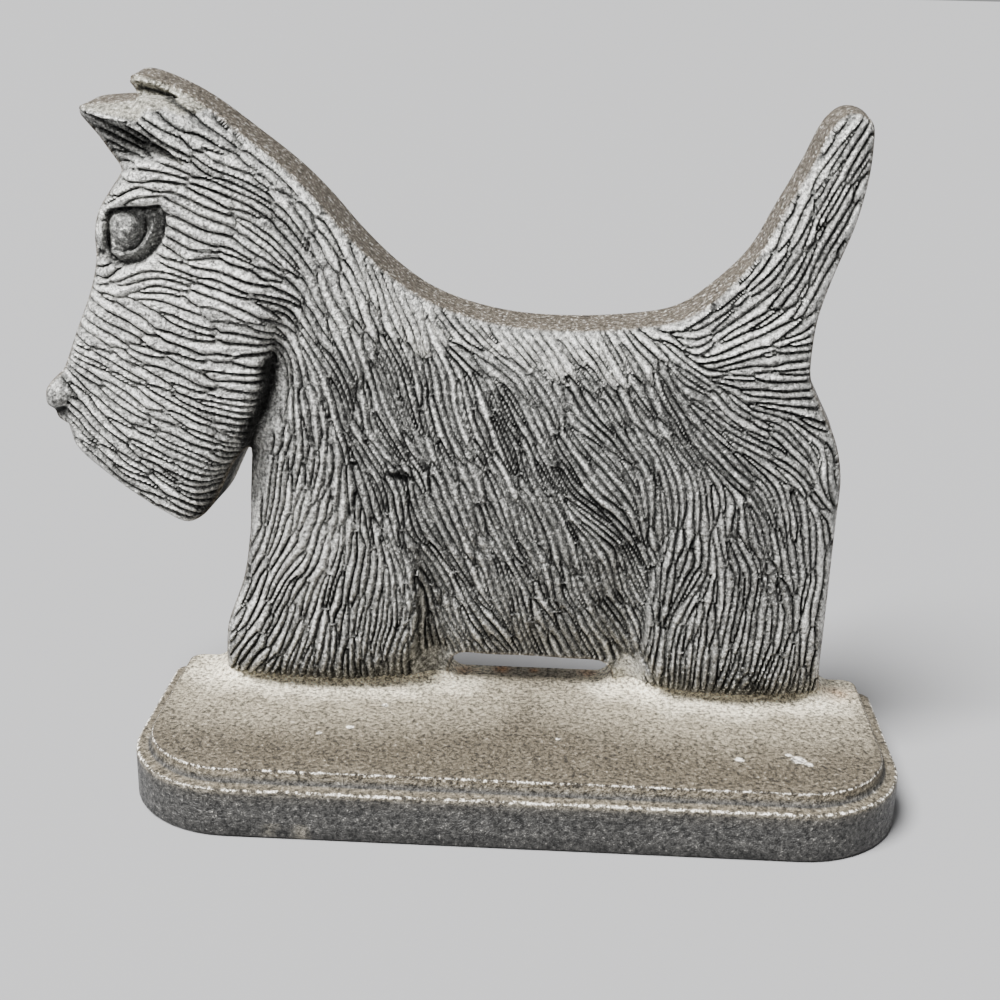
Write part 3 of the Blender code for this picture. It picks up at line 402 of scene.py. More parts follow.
@dataclass
class Form:
    """The dog's carved form without its coat: thickness over the flat back, in grid cells."""

    body_crown: float = 13.0
    head_crown: float = 17.2
    leg_crown: float = 15.6
    tail_crown: float = 10.8
    far_ear_crown: float = 9.2
    ear_hollow_crown: float = 12.6
    leg_flare: float = 1.4
    band: float = 8.5
    edge_reach: float = 12.0
    socket_depth: float = 1.7
    eye_bulge: float = 0.85
    foot_tuck: float = 3.0
    foot_tuck_rise: float = 5.5

    def thickness(self, points: np.ndarray, outline: np.ndarray) -> np.ndarray:
        """Measures the smooth form at each point.

        Args:
            points: Places, one row each.
            outline: The dog's outline.

        Returns:
            Distance of the front from the back.
        """
        u, v = points[:, 0], points[:, 1]
        edge, _, _ = nearest_on_path(points, outline, closed=True)
        in_tail = smoothstep((u - 34) / 8) * smoothstep((v - 72) / 10)
        in_neck, at_root = swelling(points, BROAD_NECK), swelling(points, TAIL_ROOT)
        far_ear = smoothstep((v - 117) / 2) * smoothstep((-60 - u) / 4)
        head = layer_share(points, HEAD)
        crown = self.body_crown + swelling(points, BODY_SWELLS)
        crown = crown + (self.tail_crown - crown) * in_tail
        crown = crown + (self.far_ear_crown - crown) * far_ear * (1 - head)
        leg = self.leg_crown - self.leg_flare * smoothstep((14 - v) / 13)
        leg = leg + swelling(points, FOOT_SWELLS)
        crown = crown + (leg - crown) * layer_share(points, FORELEG)
        crown = crown + (leg - crown) * layer_share(points, HINDLEG)
        crown = crown + (self.head_crown + swelling(points, HEAD_SWELLS) - crown) * head
        crown = crown + (self.ear_hollow_crown - crown) * layer_share(points, EAR_HOLLOW)
        beard = head * smoothstep((84 - v) / 18)
        band = self.band + 2.6 * in_neck + 1.8 * at_root - 2.2 * in_tail + 1.5 * head + 1.3 * beard
        near_ear = smoothstep((-66 - u) / 14) * smoothstep((v - 107) / 5) * head
        band -= 2.4 * near_ear
        reach = self.edge_reach - 4.0 * in_tail - 4.0 * head - 3.0 * far_ear - 2.6 * beard
        rise = np.sqrt(np.clip(1 - (1 - np.clip(edge / reach, 0, 1)) ** 2, 0, 1))
        front = band + (crown - band) * rise
        front += self.eye(points)
        for width, height, line in FEATURES:
            gap, _, _ = nearest_on_path(points, np.array(line, float))
            front += height * np.exp(-((gap / width) ** 2))
        return front - self.foot_tuck * np.clip(1 - v / self.foot_tuck_rise, 0, 1) ** 2

    def eye(self, points: np.ndarray) -> np.ndarray:
        """Sinks the socket and raises the round eye in it.

        Args:
            points: Places, one row each.

        Returns:
            What to add to the thickness at each point.
        """
        gap = np.hypot(points[:, 0] - EYE_CENTRE[0], points[:, 1] - EYE_CENTRE[1])
        socket = -self.socket_depth * layer_share(points, EYE_OPENING)
        return socket + np.sqrt(np.clip(EYE_RADIUS**2 - gap**2, 0, None)) * self.eye_bulge


class Coat:
    """Which way the coat lies, read from the comb strokes on a fixed lattice."""

    CELL = 0.5
    SAMPLE = 1.5
    FALLOFF = 2.0
    CURL = 0.19
    OPEN_SOFTNESS = 2.2
    CLOSED_SPREAD = 0.3
    PULL = 1.6
    BLOCK = 4000

    def __init__(self, outline: np.ndarray, rim: np.ndarray) -> None:
        """Combs the whole coat.

        Args:
            outline: The dog's outline.
            rim: The edge of the carved front.
        """
        self.low = outline.min(axis=0) - 2
        self.size = np.ceil((outline.max(axis=0) + 2 - self.low) / self.CELL).astype(int) + 1
        cols, rows = np.meshgrid(np.arange(self.size[0]), np.arange(self.size[1]), indexing="ij")
        nodes = np.stack([cols, rows], axis=-1).reshape(-1, 2) * self.CELL + self.low
        part = np.zeros(len(nodes), int)
        open_border = np.zeros(len(nodes), bool)
        ways = self.combed(nodes, COMB["body"])
        for number, (name, layer) in enumerate((("hindleg", HINDLEG), ("head", HEAD)), 1):
            within, share, soft = self.layer_reach(nodes, np.array(layer, float))
            part[within] = number
            open_border |= soft
            ways += (self.combed(nodes, COMB[name]) - ways) * share[:, None]
        ways /= np.maximum(np.linalg.norm(ways, axis=1, keepdims=True), 1e-9)
        bend = self.CURL * (waves(nodes, 6.5, 51) + 0.5 * waves(nodes, 2.8, 52))
        cos, sin = np.cos(bend), np.sin(bend)
        ways = np.stack([
            ways[:, 0] * cos - ways[:, 1] * sin, ways[:, 0] * sin + ways[:, 1] * cos
        ], axis=1)
        haired = inside(nodes, rim) & (nearest_on_path(nodes, rim, closed=True)[0] > 0.5)
        haired &= (bare_share(nodes) < 0.5) & (nodes[:, 1] > 0.4)
        self.part = part.reshape(self.size)
        self.open_border = open_border.reshape(self.size)
        self.haired = haired.reshape(self.size)
        self.ways = ways.reshape(*self.size, 2)

    def layer_reach(
        self, nodes: np.ndarray, outline: np.ndarray
    ) -> tuple[np.ndarray, np.ndarray, np.ndarray]:
        """Measures a layer of the coat.

        Args:
            nodes: Places of the lattice.
            outline: The layer's outline with the softness of its edge.

        Returns:
            Whether each node is in the layer, the share of its comb there, and whether hair may
            cross the layer's edge nearby.
        """
        gap, segment, share = nearest_on_path(nodes, outline[:, :2], closed=True)
        soft = outline[segment, 2] * (1 - share) + np.roll(outline[:, 2], -1)[segment] * share
        within = inside(nodes, outline[:, :2])
        spread = np.where(soft > self.OPEN_SOFTNESS, soft, self.CLOSED_SPREAD)
        blend = smoothstep(0.5 + np.where(within, gap, -gap) / (2 * spread))
        return within, blend, soft > self.OPEN_SOFTNESS

    def combed(self, nodes: np.ndarray, strokes: list) -> np.ndarray:
        """Spreads the strokes' headings over the lattice.

        Args:
            nodes: Places of the lattice.
            strokes: The comb strokes of one part of the coat.

        Returns:
            A unit heading for each node.
        """
        places, headings = [], []
        for stroke in strokes:
            corners = np.array(stroke, float)
            for a, b in zip(corners[:-1], corners[1:]):
                length = np.linalg.norm(b - a)
                for t in np.arange(max(1, round(length / self.SAMPLE))) + 0.5:
                    places.append(a + (b - a) * min(1.0, t * self.SAMPLE / length))
                    headings.append((b - a) / length)
        spots, ways = np.array(places), np.array(headings)
        found = np.empty_like(nodes)
        for first in range(0, len(nodes), self.BLOCK):
            part = nodes[first : first + self.BLOCK]
            gap = ((part[:, None, :] - spots[None]) ** 2).sum(axis=2)
            found[first : first + self.BLOCK] = (1.0 / (gap + self.FALLOFF) ** self.PULL) @ ways
        found /= np.maximum(np.linalg.norm(found, axis=1, keepdims=True), 1e-9)
        return found

    def node(self, u: float, v: float) -> tuple[int, int]:
        """Names the lattice node nearest to a place.

        Args:
            u: Place along the dog.
            v: Place up the dog.

        Returns:
            The node's column and row.
        """
        col = min(max(int((u - self.low[0]) / self.CELL + 0.5), 0), self.size[0] - 1)
        row = min(max(int((v - self.low[1]) / self.CELL + 0.5), 0), self.size[1] - 1)
        return col, row

    def heading(self, u: float, v: float) -> tuple[float, float]:
        """Reads which way the coat lies at a place."""
        x, y = self.ways[self.node(u, v)]
        return float(x), float(y)

    def free(self, u: float, v: float, part: int) -> bool:
        """Tells whether hair of this part may lie at a place."""
        node = self.node(u, v)
        return bool(self.haired[node]) and (self.part[node] == part or bool(self.open_border[node]))


def bare_share(points: np.ndarray) -> np.ndarray:
    """Tells where the casting is smooth: eye, nose, ear's top, hollows by the gap, and throat.

    Args:
        points: Places, one row each.

    Returns:
        A share for each point, 1 where it is bare.
    """
    nose = np.hypot((points[:, 0] + 92.6) / 2.6, (points[:, 1] - 60.4) / 5.4)
    return np.maximum.reduce([
        smoothstep((1.0 - nose) / 0.15), layer_share(points, EYE_OPENING), hollow_share(points),
        layer_share(points, EAR_TOP), 0.8 * layer_share(points, THROAT),
    ])


def breadth(u: float, v: float) -> float:
    """Tells how broad the hairs are: most on the face, less at the neck, least on the flank.

    Args:
        u: Place along the dog.
        v: Place up the dog.

    Returns:
        Their breadth as a share of the usual spacing.
    """
    face = math.exp(-(((u + 72) / 22) ** 2) - ((v - 78) / 40) ** 2)
    neck = math.exp(-(((u + 38) / 14) ** 2) - ((v - 88) / 16) ** 2)
    return 0.98 + 0.26 * min(1.0, 1.3 * face) + 0.16 * neck


def hollow_share(points: np.ndarray) -> np.ndarray:
    """Tells where the plain hollows between the feet and the gap under the belly are.

    Args:
        points: Places, one row each.

    Returns:
        A share for each point, 1 in a hollow.
    """
    found = np.zeros(len(points))
    for u, wide in HOLLOWS:
        away = np.hypot((points[:, 0] - u) / wide, points[:, 1] / HOLLOW_HEIGHT)
        found = np.maximum(found, 1.2 - away)
    return smoothstep(found / 0.35)


@dataclass
class Locks:
    """Evenly spaced hairs that follow the coat, each a list of places from root to tip."""

    coat: Coat
    spacing: float
    step: float
    lengths: tuple[float, float]
    seed: int
    closeness: tuple[float, ...] = (1.0, 0.72)
    unevenness: tuple[float, float] = (0.85, 1.28)
    shelf: float = 1.6
    meeting: float = 0.50
    shortest: float = 0.3
    pitch: float = 0.5
    start_step: float = 0.3
    start_tries: int = 8
    strokes: list = field(default_factory=list)
    buckets: dict = field(default_factory=dict)

    def near(self, u: float, v: float, reach: float) -> bool:
        """Tells whether another hair passes within reach.

        Args:
            u: Place along the dog.
            v: Place up the dog.
            reach: How far to look.

        Returns:
            True if one does.
        """
        size = self.shelf * self.spacing
        col, row = int(u // size), int(v // size)
        for i in (col - 1, col, col + 1):
            for j in (row - 1, row, row + 1):
                for x, y in self.buckets.get((i, j), ()):
                    if (x - u) ** 2 + (y - v) ** 2 < reach * reach:
                        return True
        return False

    def trace(self, u: float, v: float, part: int, sign: int, length: float) -> list:
        """Follows the coat from a place until it nears another hair or leaves its part.

        Args:
            u: Start along the dog.
            v: Start up the dog.
            part: Part of the coat.
            sign: 1 towards the tip, -1 towards the root.
            length: Longest way to go.

        Returns:
            The places passed.
        """
        places = []
        for _ in range(int(length / self.step)):
            hu, hv = self.coat.heading(u, v)
            half = sign * self.step / 2
            hu, hv = self.coat.heading(u + hu * half, v + hv * half)
            u, v = u + sign * hu * self.step, v + sign * hv * self.step
            reach = self.meeting * self.spacing * breadth(u, v)
            if not self.coat.free(u, v, part) or self.near(u, v, reach):
                break
            places.append((u, v))
        return places

    def lay_row_hair(self, u: float, v: float, length: float) -> None:
        """Lays one lock of the row along the back, from just inside the rim.

        Args:
            u: Start along the dog.
            v: Start up the dog.
            length: How long it grows.
        """
        hu, hv = self.coat.heading(u, v)
        for _ in range(self.start_tries):
            part = int(self.coat.part[self.coat.node(u, v)])
            if self.coat.free(u, v, part):
                break
            u, v = u + self.start_step * hu, v + self.start_step * hv
        self.keep([(u, v)] + self.trace(u, v, part, 1, length))

    def keep(self, stroke: list) -> None:
        """Keeps a hair that is long enough and notes its places.

        Args:
            stroke: Its places from root to tip.
        """
        if len(stroke) * self.step < self.lengths[0] * self.shortest:
            return
        self.strokes.append(np.array(stroke))
        for x, y in stroke:
            key = (int(x // (self.shelf * self.spacing)), int(y // (self.shelf * self.spacing)))
            self.buckets.setdefault(key, []).append((x, y))

    def comb_all(self) -> "Locks":
        """Lays the hairs over the whole coat, then fills the gaps left between them.

        Returns:
            The same locks, with their hairs laid.
        """
        draw = random.Random(self.seed)
        low, high = self.coat.low, self.coat.low + self.coat.size * self.coat.CELL
        for closeness in self.closeness:
            pitch = self.spacing * self.pitch * closeness
            starts = [
                (low[0] + (i + draw.random()) * pitch, low[1] + (j + draw.random()) * pitch)
                for i in range(int((high[0] - low[0]) / pitch))
                for j in range(int((high[1] - low[1]) / pitch))
            ]
            draw.shuffle(starts)
            for u, v in starts:
                part = int(self.coat.part[self.coat.node(u, v)])
                length = draw.uniform(*self.lengths)
                apart = self.spacing * closeness * draw.uniform(*self.unevenness) * breadth(u, v)
                if not self.coat.free(u, v, part) or self.near(u, v, apart):
                    continue
                back = self.trace(u, v, part, -1, length * 0.5)
                ahead = self.trace(u, v, part, 1, length * 0.5)
                self.keep(back[::-1] + [(u, v)] + ahead)
        return self


class Shelves:
    """Sorts points into square cells so that the ones near a stroke are found quickly."""

    def __init__(self, points: np.ndarray, size: float = 4.0) -> None:
        """Sorts the points.

        Args:
            points: Places, one row each.
            size: Side of a cell.
        """
        self.points, self.size = points, size
        self.low = points.min(axis=0)
        cells = ((points - self.low) / size).astype(int)
        self.rows = cells[:, 1].max() + 1
        key = cells[:, 0] * self.rows + cells[:, 1]
        self.order = np.argsort(key, kind="stable")
        count = (cells[:, 0].max() + 1) * self.rows
        self.first = np.searchsorted(key[self.order], np.arange(count + 1))

    def near(self, low: np.ndarray, high: np.ndarray) -> np.ndarray:
        """Lists the points in a window.

        Args:
            low: Its lowest corner.
            high: Its highest corner.

        Returns:
            Their numbers.
        """
        a = np.maximum(((low - self.low) / self.size).astype(int), 0)
        b = ((high - self.low) / self.size).astype(int)
        last_col = (len(self.first) - 1) // self.rows - 1
        found = []
        for col in range(a[0], min(b[0], last_col) + 1):
            first = col * self.rows + a[1]
            last = col * self.rows + min(b[1], self.rows - 1) + 1
            if last > first:
                found.append(self.order[self.first[first] : self.first[last]])
        if not found:
            return np.empty(0, int)
        rows = np.concatenate(found)
        close = self.points[rows]
        return rows[((close >= low) & (close <= high)).all(axis=1)]


@dataclass
class Hair:
    """One carved hair: its places from root to tip, and how it differs from the others."""

    path: np.ndarray
    in_row: bool
    level: float
    tilt: float
    soot_and_shade: float
    crest_wear_and_highlight: float


class NearestHairs:
    """The two hairs nearest to each point, measured across their tapering widths."""

    REACH = 2.6
    ROOT_TAPER = 2.2
    TIP_TAPER = 4.5
    NARROWEST = 0.42

    def __init__(self, points: np.ndarray, hairs: list) -> None:
        """Measures the hairs round each point.

        Args:
            points: Places, one row each.
            hairs: The hairs of the coat.
        """
        count = len(points)
        shelves = Shelves(points)
        self.gap = np.full((2, count), self.REACH * 2)
        self.owner = np.full((2, count), -1)
        self.way = np.zeros((2, count, 2))
        self.along, self.side = np.zeros(count), np.zeros(count)
        self.heading = np.zeros((count, 2))
        for number, hair in enumerate(hairs):
            low, high = hair.path.min(axis=0), hair.path.max(axis=0)
            rows = shelves.near(low - self.REACH, high + self.REACH)
            if len(rows):
                self.measure(points, rows, hair.path, number)

    def measure(self, points: np.ndarray, rows: np.ndarray, path: np.ndarray, number: int) -> None:
        """Measures one hair and keeps it where it is among the nearest two.

        Args:
            points: Places, one row each.
            rows: Which of them lie near the hair.
            path: The hair's places.
            number: The hair's number.
        """
        gap, segment, share = nearest_on_path(points[rows], path)
        along = np.diff(path, axis=0)
        steps = np.linalg.norm(along, axis=1)
        run = np.concatenate([[0], np.cumsum(steps)])
        at = run[segment] + share * steps[segment]
        ends = smoothstep(np.minimum(at / self.ROOT_TAPER, (run[-1] - at) / self.TIP_TAPER))
        width = self.NARROWEST + (1 - self.NARROWEST) * ends
        off = points[rows] - path[segment] - along[segment] * share[:, None]
        way = off / np.maximum(gap, 1e-6)[:, None] / width[:, None]
        gap = gap / width
        first, second = gap < self.gap[0, rows], gap < self.gap[1, rows]
        pushed = rows[first]
        self.gap[1, pushed], self.owner[1, pushed] = self.gap[0, pushed], self.owner[0, pushed]
        self.way[1, pushed] = self.way[0, pushed]
        for rank, chosen in ((0, first), (1, second & ~first)):
            self.gap[rank, rows[chosen]] = gap[chosen]
            self.owner[rank, rows[chosen]] = number
            self.way[rank, rows[chosen]] = way[chosen]
        self.along[pushed] = at[first] / run[-1]
        left = along[segment, 0] * off[:, 1] - along[segment, 1] * off[:, 0]
        self.side[pushed] = np.sign(left[first])
        self.heading[pushed] = (along / steps[:, None])[segment][first]

    @property
    def across(self) -> np.ndarray:
        """How far each point is from its hair's middle, 0, to the groove beside it, 1."""
        return 2 * self.gap[0] / (self.gap[0] + self.gap[1])

    @property
    def to_groove(self) -> np.ndarray:
        """Distance of each point from the groove between its two hairs."""
        steepness = np.linalg.norm(self.way, axis=2).sum(axis=0)
        return (self.gap[1] - self.gap[0]) / np.maximum(steepness, 1.0)

    @property
    def beside(self) -> np.ndarray:
        """Tells which way the groove beside each point runs.

        Returns:
            1 along the hair, 0 across its end.
        """
        slope = self.way[1] - self.way[0]
        slope /= np.maximum(np.linalg.norm(slope, axis=1), 1e-6)[:, None]
        return smoothstep((1 - np.abs((slope * self.heading).sum(axis=1)) - 0.08) / 0.5)

    def onto_grooves(self, points: np.ndarray, furthest: float) -> np.ndarray:
        """Moves the points that lie close to a groove onto its bottom line.

        Args:
            points: Places, one row each.
            furthest: Longest move.

        Returns:
            The new places.
        """
        slope = self.way[1] - self.way[0]
        squared = np.maximum((slope**2).sum(axis=1), 1e-6)
        move = -slope * ((self.gap[1] - self.gap[0]) / squared)[:, None]
        length = np.linalg.norm(move, axis=1)
        moved = points.copy()
        close = (length < furthest) & (self.owner[1] >= 0)
        moved[close] += move[close]
        return moved


@dataclass
class Carving:
    """The carved coat: rounded hairs side by side, parted by narrow grooves."""

    spacing: float = 1.46
    lengths: tuple[float, float] = (9.0, 30.0)
    row_spacing: float = 2.15
    row_lengths: tuple[float, float] = (8.0, 12.5)
    row_span: tuple[float, float] = (-41.0, 30.0)
    row_above: float = 60.0
    row_unevenness: tuple[float, float] = (0.85, 1.15)
    row_longer: float = 4.0
    row_lift: float = 0.95
    depth: float = 0.90
    groove: float = 0.26
    open_groove: float = 0.17
    lift: float = 0.22
    fade: float = 0.4
    step: float = 0.4
    level: float = 0.16
    tilt: float = 0.14
    soot_and_shade: tuple[float, float] = (0.48, 1.0)
    crest_wear_and_highlight: tuple[float, float] = (0.45, 1.0)
    seed: int = 11

    def hairs(self, coat: Coat, rim: np.ndarray) -> list:
        """Lays the row of broad locks along the back, then the rest of the coat.

        Args:
            coat: The coat.
            rim: The edge of the carved front.

        Returns:
            The hairs.
        """
        draw = random.Random(self.seed)
        locks = Locks(coat, self.spacing, self.step, self.lengths, self.seed + 2)
        low, high = self.row_span
        top = rim[(rim[:, 0] > low) & (rim[:, 0] < high) & (rim[:, 1] > self.row_above)]
        along = np.concatenate([[0], np.cumsum(np.linalg.norm(np.diff(top, axis=0), axis=1))])
        at = 0.0
        while at < along[-1]:
            u, v = (float(np.interp(at, along, top[:, k])) for k in (0, 1))
            longer = self.row_longer * float(smoothstep((-18 - u) / 10))
            locks.lay_row_hair(u, v, draw.uniform(*self.row_lengths) + longer)
            at += self.row_spacing * draw.uniform(*self.row_unevenness)
        in_row = len(locks.strokes)
        locks.comb_all()
        return [
            Hair(path, number < in_row, draw.uniform(-self.level, self.level),
                 draw.uniform(-self.tilt, self.tilt), draw.uniform(*self.soot_and_shade),
                 draw.uniform(*self.crest_wear_and_highlight))
            for number, path in enumerate(locks.strokes)
        ]

    def carve(self, points: np.ndarray, hairs: list, near: NearestHairs) -> dict:
        """Carves the hairs.

        Args:
            points: Places, one row each.
            hairs: The hairs.
            near: The two nearest hairs of each point.

        Returns:
            Height, the grooves' sooty patina with painted shade, crest polish with painted
            highlight, and share of the row at each point.
        """
        def of(name: str, rank: int) -> np.ndarray:
            """Reads a value of each point's nearest, 0, or second hair, 1."""
            values = [float(getattr(hair, name)) for hair in hairs]
            return np.array(values + [0.5])[near.owner[rank]]

        opened = open_share(points)
        half = self.groove + self.open_groove * opened
        beside = near.beside
        deep = of("soot_and_shade", 0) * of("soot_and_shade", 1) * (1 + 0.5 * waves(points, 3.6, 71))
        cut = np.exp(-((near.to_groove / half) ** 2)) * (0.1 + 0.9 * beside)
        cushion = (1 - near.across**2) * (0.4 + 0.6 * beside)
        row = of("in_row", 0) * (near.owner[0] >= 0)
        tip = row * (0.30 + 0.90 * near.along**2)
        lift = (self.lift + (self.row_lift - self.lift) * row) * near.along**1.6
        relief = of("level", 0) + of("tilt", 0) * near.side * near.across + lift
        # The face is carved a little deeper than the rest.
        broad = 1 + 0.22 * np.exp(-(((points[:, 0] + 72) / 22) ** 2))
        height = broad * self.depth * (0.45 * cushion - (0.35 + 0.65 * deep) * cut)
        height += relief * (1 - cut)
        # Sooty patina in the grooves, darkened further as painted shade.
        soot_and_shade = np.clip(0.25 + deep, 0, 1) * np.exp(-((near.to_groove / (0.8 * half)) ** 2))
        soot_and_shade *= beside**2
        # On flank and belly the hairs' sides are painted in shade as well, so that they look thin.
        dull = 0.42 * opened * smoothstep((near.across - 0.22) / 0.4) * (1 - row)
        soot_and_shade = np.maximum(soot_and_shade, dull)
        # Each hair's crest is painted lighter: partly polish from handling, partly painted
        # highlight.
        ridge = 0.62 - 0.28 * opened
        crest_wear_and_highlight = np.exp(-((near.across / ridge) ** 2)) * of("crest_wear_and_highlight", 0)
        return {"height": height, "soot_and_shade": soot_and_shade, "crest_wear_and_highlight": crest_wear_and_highlight, "row": tip}


def open_share(points: np.ndarray) -> np.ndarray:
    """Tells where the grooves are wide and the hairs thin: the flank and the belly."""
    u, v = points[:, 0], points[:, 1]
    return smoothstep((u + 50) / 8) * smoothstep((40 - u) / 10) * smoothstep((76 - v) / 8)


class Relief:
    """The dog's net: a fine grid trimmed to the rim, carved, and closed round its flat back."""

    PIECE = "dog_relief"
    # Fine enough for the grooves, and coarse enough for less than 200,000 triangles.
    CELL = 0.378
    OUTLINE_SPACING = 1.1
    DRAFT = 0.7
    BACK_GAP = 0.03
    BAND_RINGS = (0.12, 0.5, 1.0)
    GROOVE_SNAP = 0.45
    PLAIN_WEAR_AND_HIGHLIGHT = 0.5
    EYE_HIGHLIGHT_DIMMING = 0.26

    def __init__(self, plinth: "Plinth", form: Form, carving: Carving) -> None:
        """Lays out the outline and the rim of the carved front.

        Args:
            plinth: The plinth that the dog stands on.
            form: The dog's smooth form.
            carving: The carved coat.
        """
        self.plinth, self.form, self.carving = plinth, form, carving
        self.outline = smooth_closed_curve(OUTLINE, self.OUTLINE_SPACING)
        self.rim = inward(self.outline, self.DRAFT)

    def in_metres(self, places: np.ndarray, front: np.ndarray) -> np.ndarray:
        """Puts relief places where they stand in the model.

        Args:
            places: Places, one row each.
            front: Thickness at each of them.

        Returns:
            Their coordinates in metres.
        """
        back = self.plinth.back - self.BACK_GAP * MM
        return np.stack([
            places[:, 0] * MM, back - front * MM, self.plinth.top + places[:, 1] * MM
        ], axis=1)

    def build(self) -> bpy.types.Object:
        """Carves the front, closes the casting and stores what its finish reads.

        Returns:
            The finished piece.
        """
        piece, places, edge = trimmed_grid(self.PIECE, self.rim, self.CELL)
        hairs = self.carving.hairs(Coat(self.outline, self.rim), self.rim)
        inner = np.setdiff1d(np.arange(len(places)), edge)
        near = NearestHairs(places[inner], hairs)
        places[inner] = near.onto_grooves(places[inner], self.GROOVE_SNAP * self.CELL)
        carved = self.carving.carve(places, hairs, NearestHairs(places, hairs))
        front = self.form.thickness(places, self.outline)
        gap, _, _ = nearest_on_path(places, self.rim, closed=True)
        haired = (1 - bare_share(places)) * smoothstep(gap / self.carving.fade)
        front += carved["height"] * haired
        front += 0.16 * waves(places, 5.0, 21) + 0.07 * waves(places, 1.0, 22) * haired
        band = np.zeros(len(places))
        band[edge] = 0.8
        # Stored darkness: the grooves' sooty patina with painted shade, and the recesses' painted
        # shade.
        store(piece.data, "painted_shade_and_soot", np.maximum(carved["soot_and_shade"] * haired, self.shaded_recesses(places)))
        # Bare parts are painted part way to the crest colour as highlight, less in the eye.
        plain = self.PLAIN_WEAR_AND_HIGHLIGHT - self.EYE_HIGHLIGHT_DIMMING * layer_share(places, EYE_OPENING)
        store(piece.data, "crest_wear_and_highlight", carved["crest_wear_and_highlight"] * haired + plain * (1 - haired))
        # Lighter where handled and where light from above is painted, darker where shade is
        # painted, as under the feet.
        rubbed = swelling(places, RUBBED_AND_PAINTED_LIGHT)
        store(piece.data, "wear_and_painted_light", np.clip(carved["row"] + rubbed, -2, 1.3) * haired)
        store(piece.data, "bare", layer_share(places, EAR_TOP))
        store(piece.data, "band", band)
        write(piece.data.vertices, "co", self.in_metres(places, front))
        self.split(piece, front)
        self.close(piece)
        return finished(piece)

    @staticmethod
    def split(piece: bpy.types.Object, front: np.ndarray) -> None:
        """Splits each square into triangles along its lower diagonal, so that grooves run through.

        Args:
            piece: The net.
            front: Thickness at each of its points.
        """
        for method in ("FIXED", "FIXED_ALTERNATE"):
            totals = read(piece.data.polygons, "loop_total", 1, int)
            starts = read(piece.data.polygons, "loop_start", 1, int)
            points = read(piece.data.loops, "vertex_index", 1, int)
            square = totals == 4
            corners = points[starts[square][:, None] + np.arange(4)]
            high = front[corners]
            chosen = square.copy()
            if method == "FIXED":
                chosen[square] = high[:, 0] + high[:, 2] < high[:, 1] + high[:, 3]
            choose(piece, "FACE", chosen)
            edit(piece, "FACE")
            bpy.ops.mesh.quads_convert_to_tris(quad_method=method, ngon_method="BEAUTY")
            leave_edit()

    @staticmethod
    def shaded_recesses(places: np.ndarray) -> np.ndarray:
        """Tells where shade is painted black: ear, hollow by the foreleg, beard's back edge, nose
        and lines.

        Args:
            places: Places, one row each.

        Returns:
            A share for each place, 1 where the painted shade is black.
        """
        # All of these are painted shade, where the carving turns from the light or is undercut.
        dark = 0.62 * layer_share(places, EAR_HOLLOW)
        dark = np.maximum(dark, 0.55 * hollow_share(places) * (places[:, 0] < 0))
        gap, _, _ = nearest_on_path(places, np.array(BEARD_SHADE, float))
        wide = 1.8 + 1.3 * smoothstep((54 - places[:, 1]) / 8)
        dark = np.maximum(dark, np.exp(-((gap / wide) ** 2)))
        nose = np.hypot((places[:, 0] + 93.6) / 3.0, (places[:, 1] - 59.6) / 4.4)
        dark = np.maximum(dark, 0.55 * smoothstep((1.2 - nose) / 0.5))
        for width, height, line in FEATURES:
            if height < 0:
                gap, _, _ = nearest_on_path(places, np.array(line, float))
                dark = np.maximum(dark, min(1.0, -height) * np.exp(-((gap / width) ** 2)))
        return dark

    def close(self, piece: bpy.types.Object) -> None:
        """Draws the smooth edge band from the rim to the flat back and fills the back.

        Args:
            piece: The carved net, open at its rim.
        """
        mesh = piece.data
        choose(piece, "EDGE", boundary_edges(mesh))
        for share in self.BAND_RINGS:
            chosen, at = draw_ring(piece)
            rim, outline = along_ring(self.rim, at), along_ring(self.outline, at)
            corners = read(mesh.vertices, "co", 3)
            depth = (self.plinth.back - self.BACK_GAP * MM - corners[chosen, 1]) / MM
            corners[chosen] = self.in_metres(rim + (outline - rim) * share, depth * (1 - share))
            write(mesh.vertices, "co", corners)
            # The last ring lies on the flat back, which is free of the front's sooty patina and
            # painted shade.
            soot_and_shade = read(mesh.attributes["painted_shade_and_soot"].data, "value", 1)[chosen] * (share < 1)
            change(mesh, "painted_shade_and_soot", chosen, soot_and_shade)
            # On the band the patina gives way to the front's painted shade, as under the beard.
            change(mesh, "band", chosen, 1 - soot_and_shade)
        fill_ring(piece)


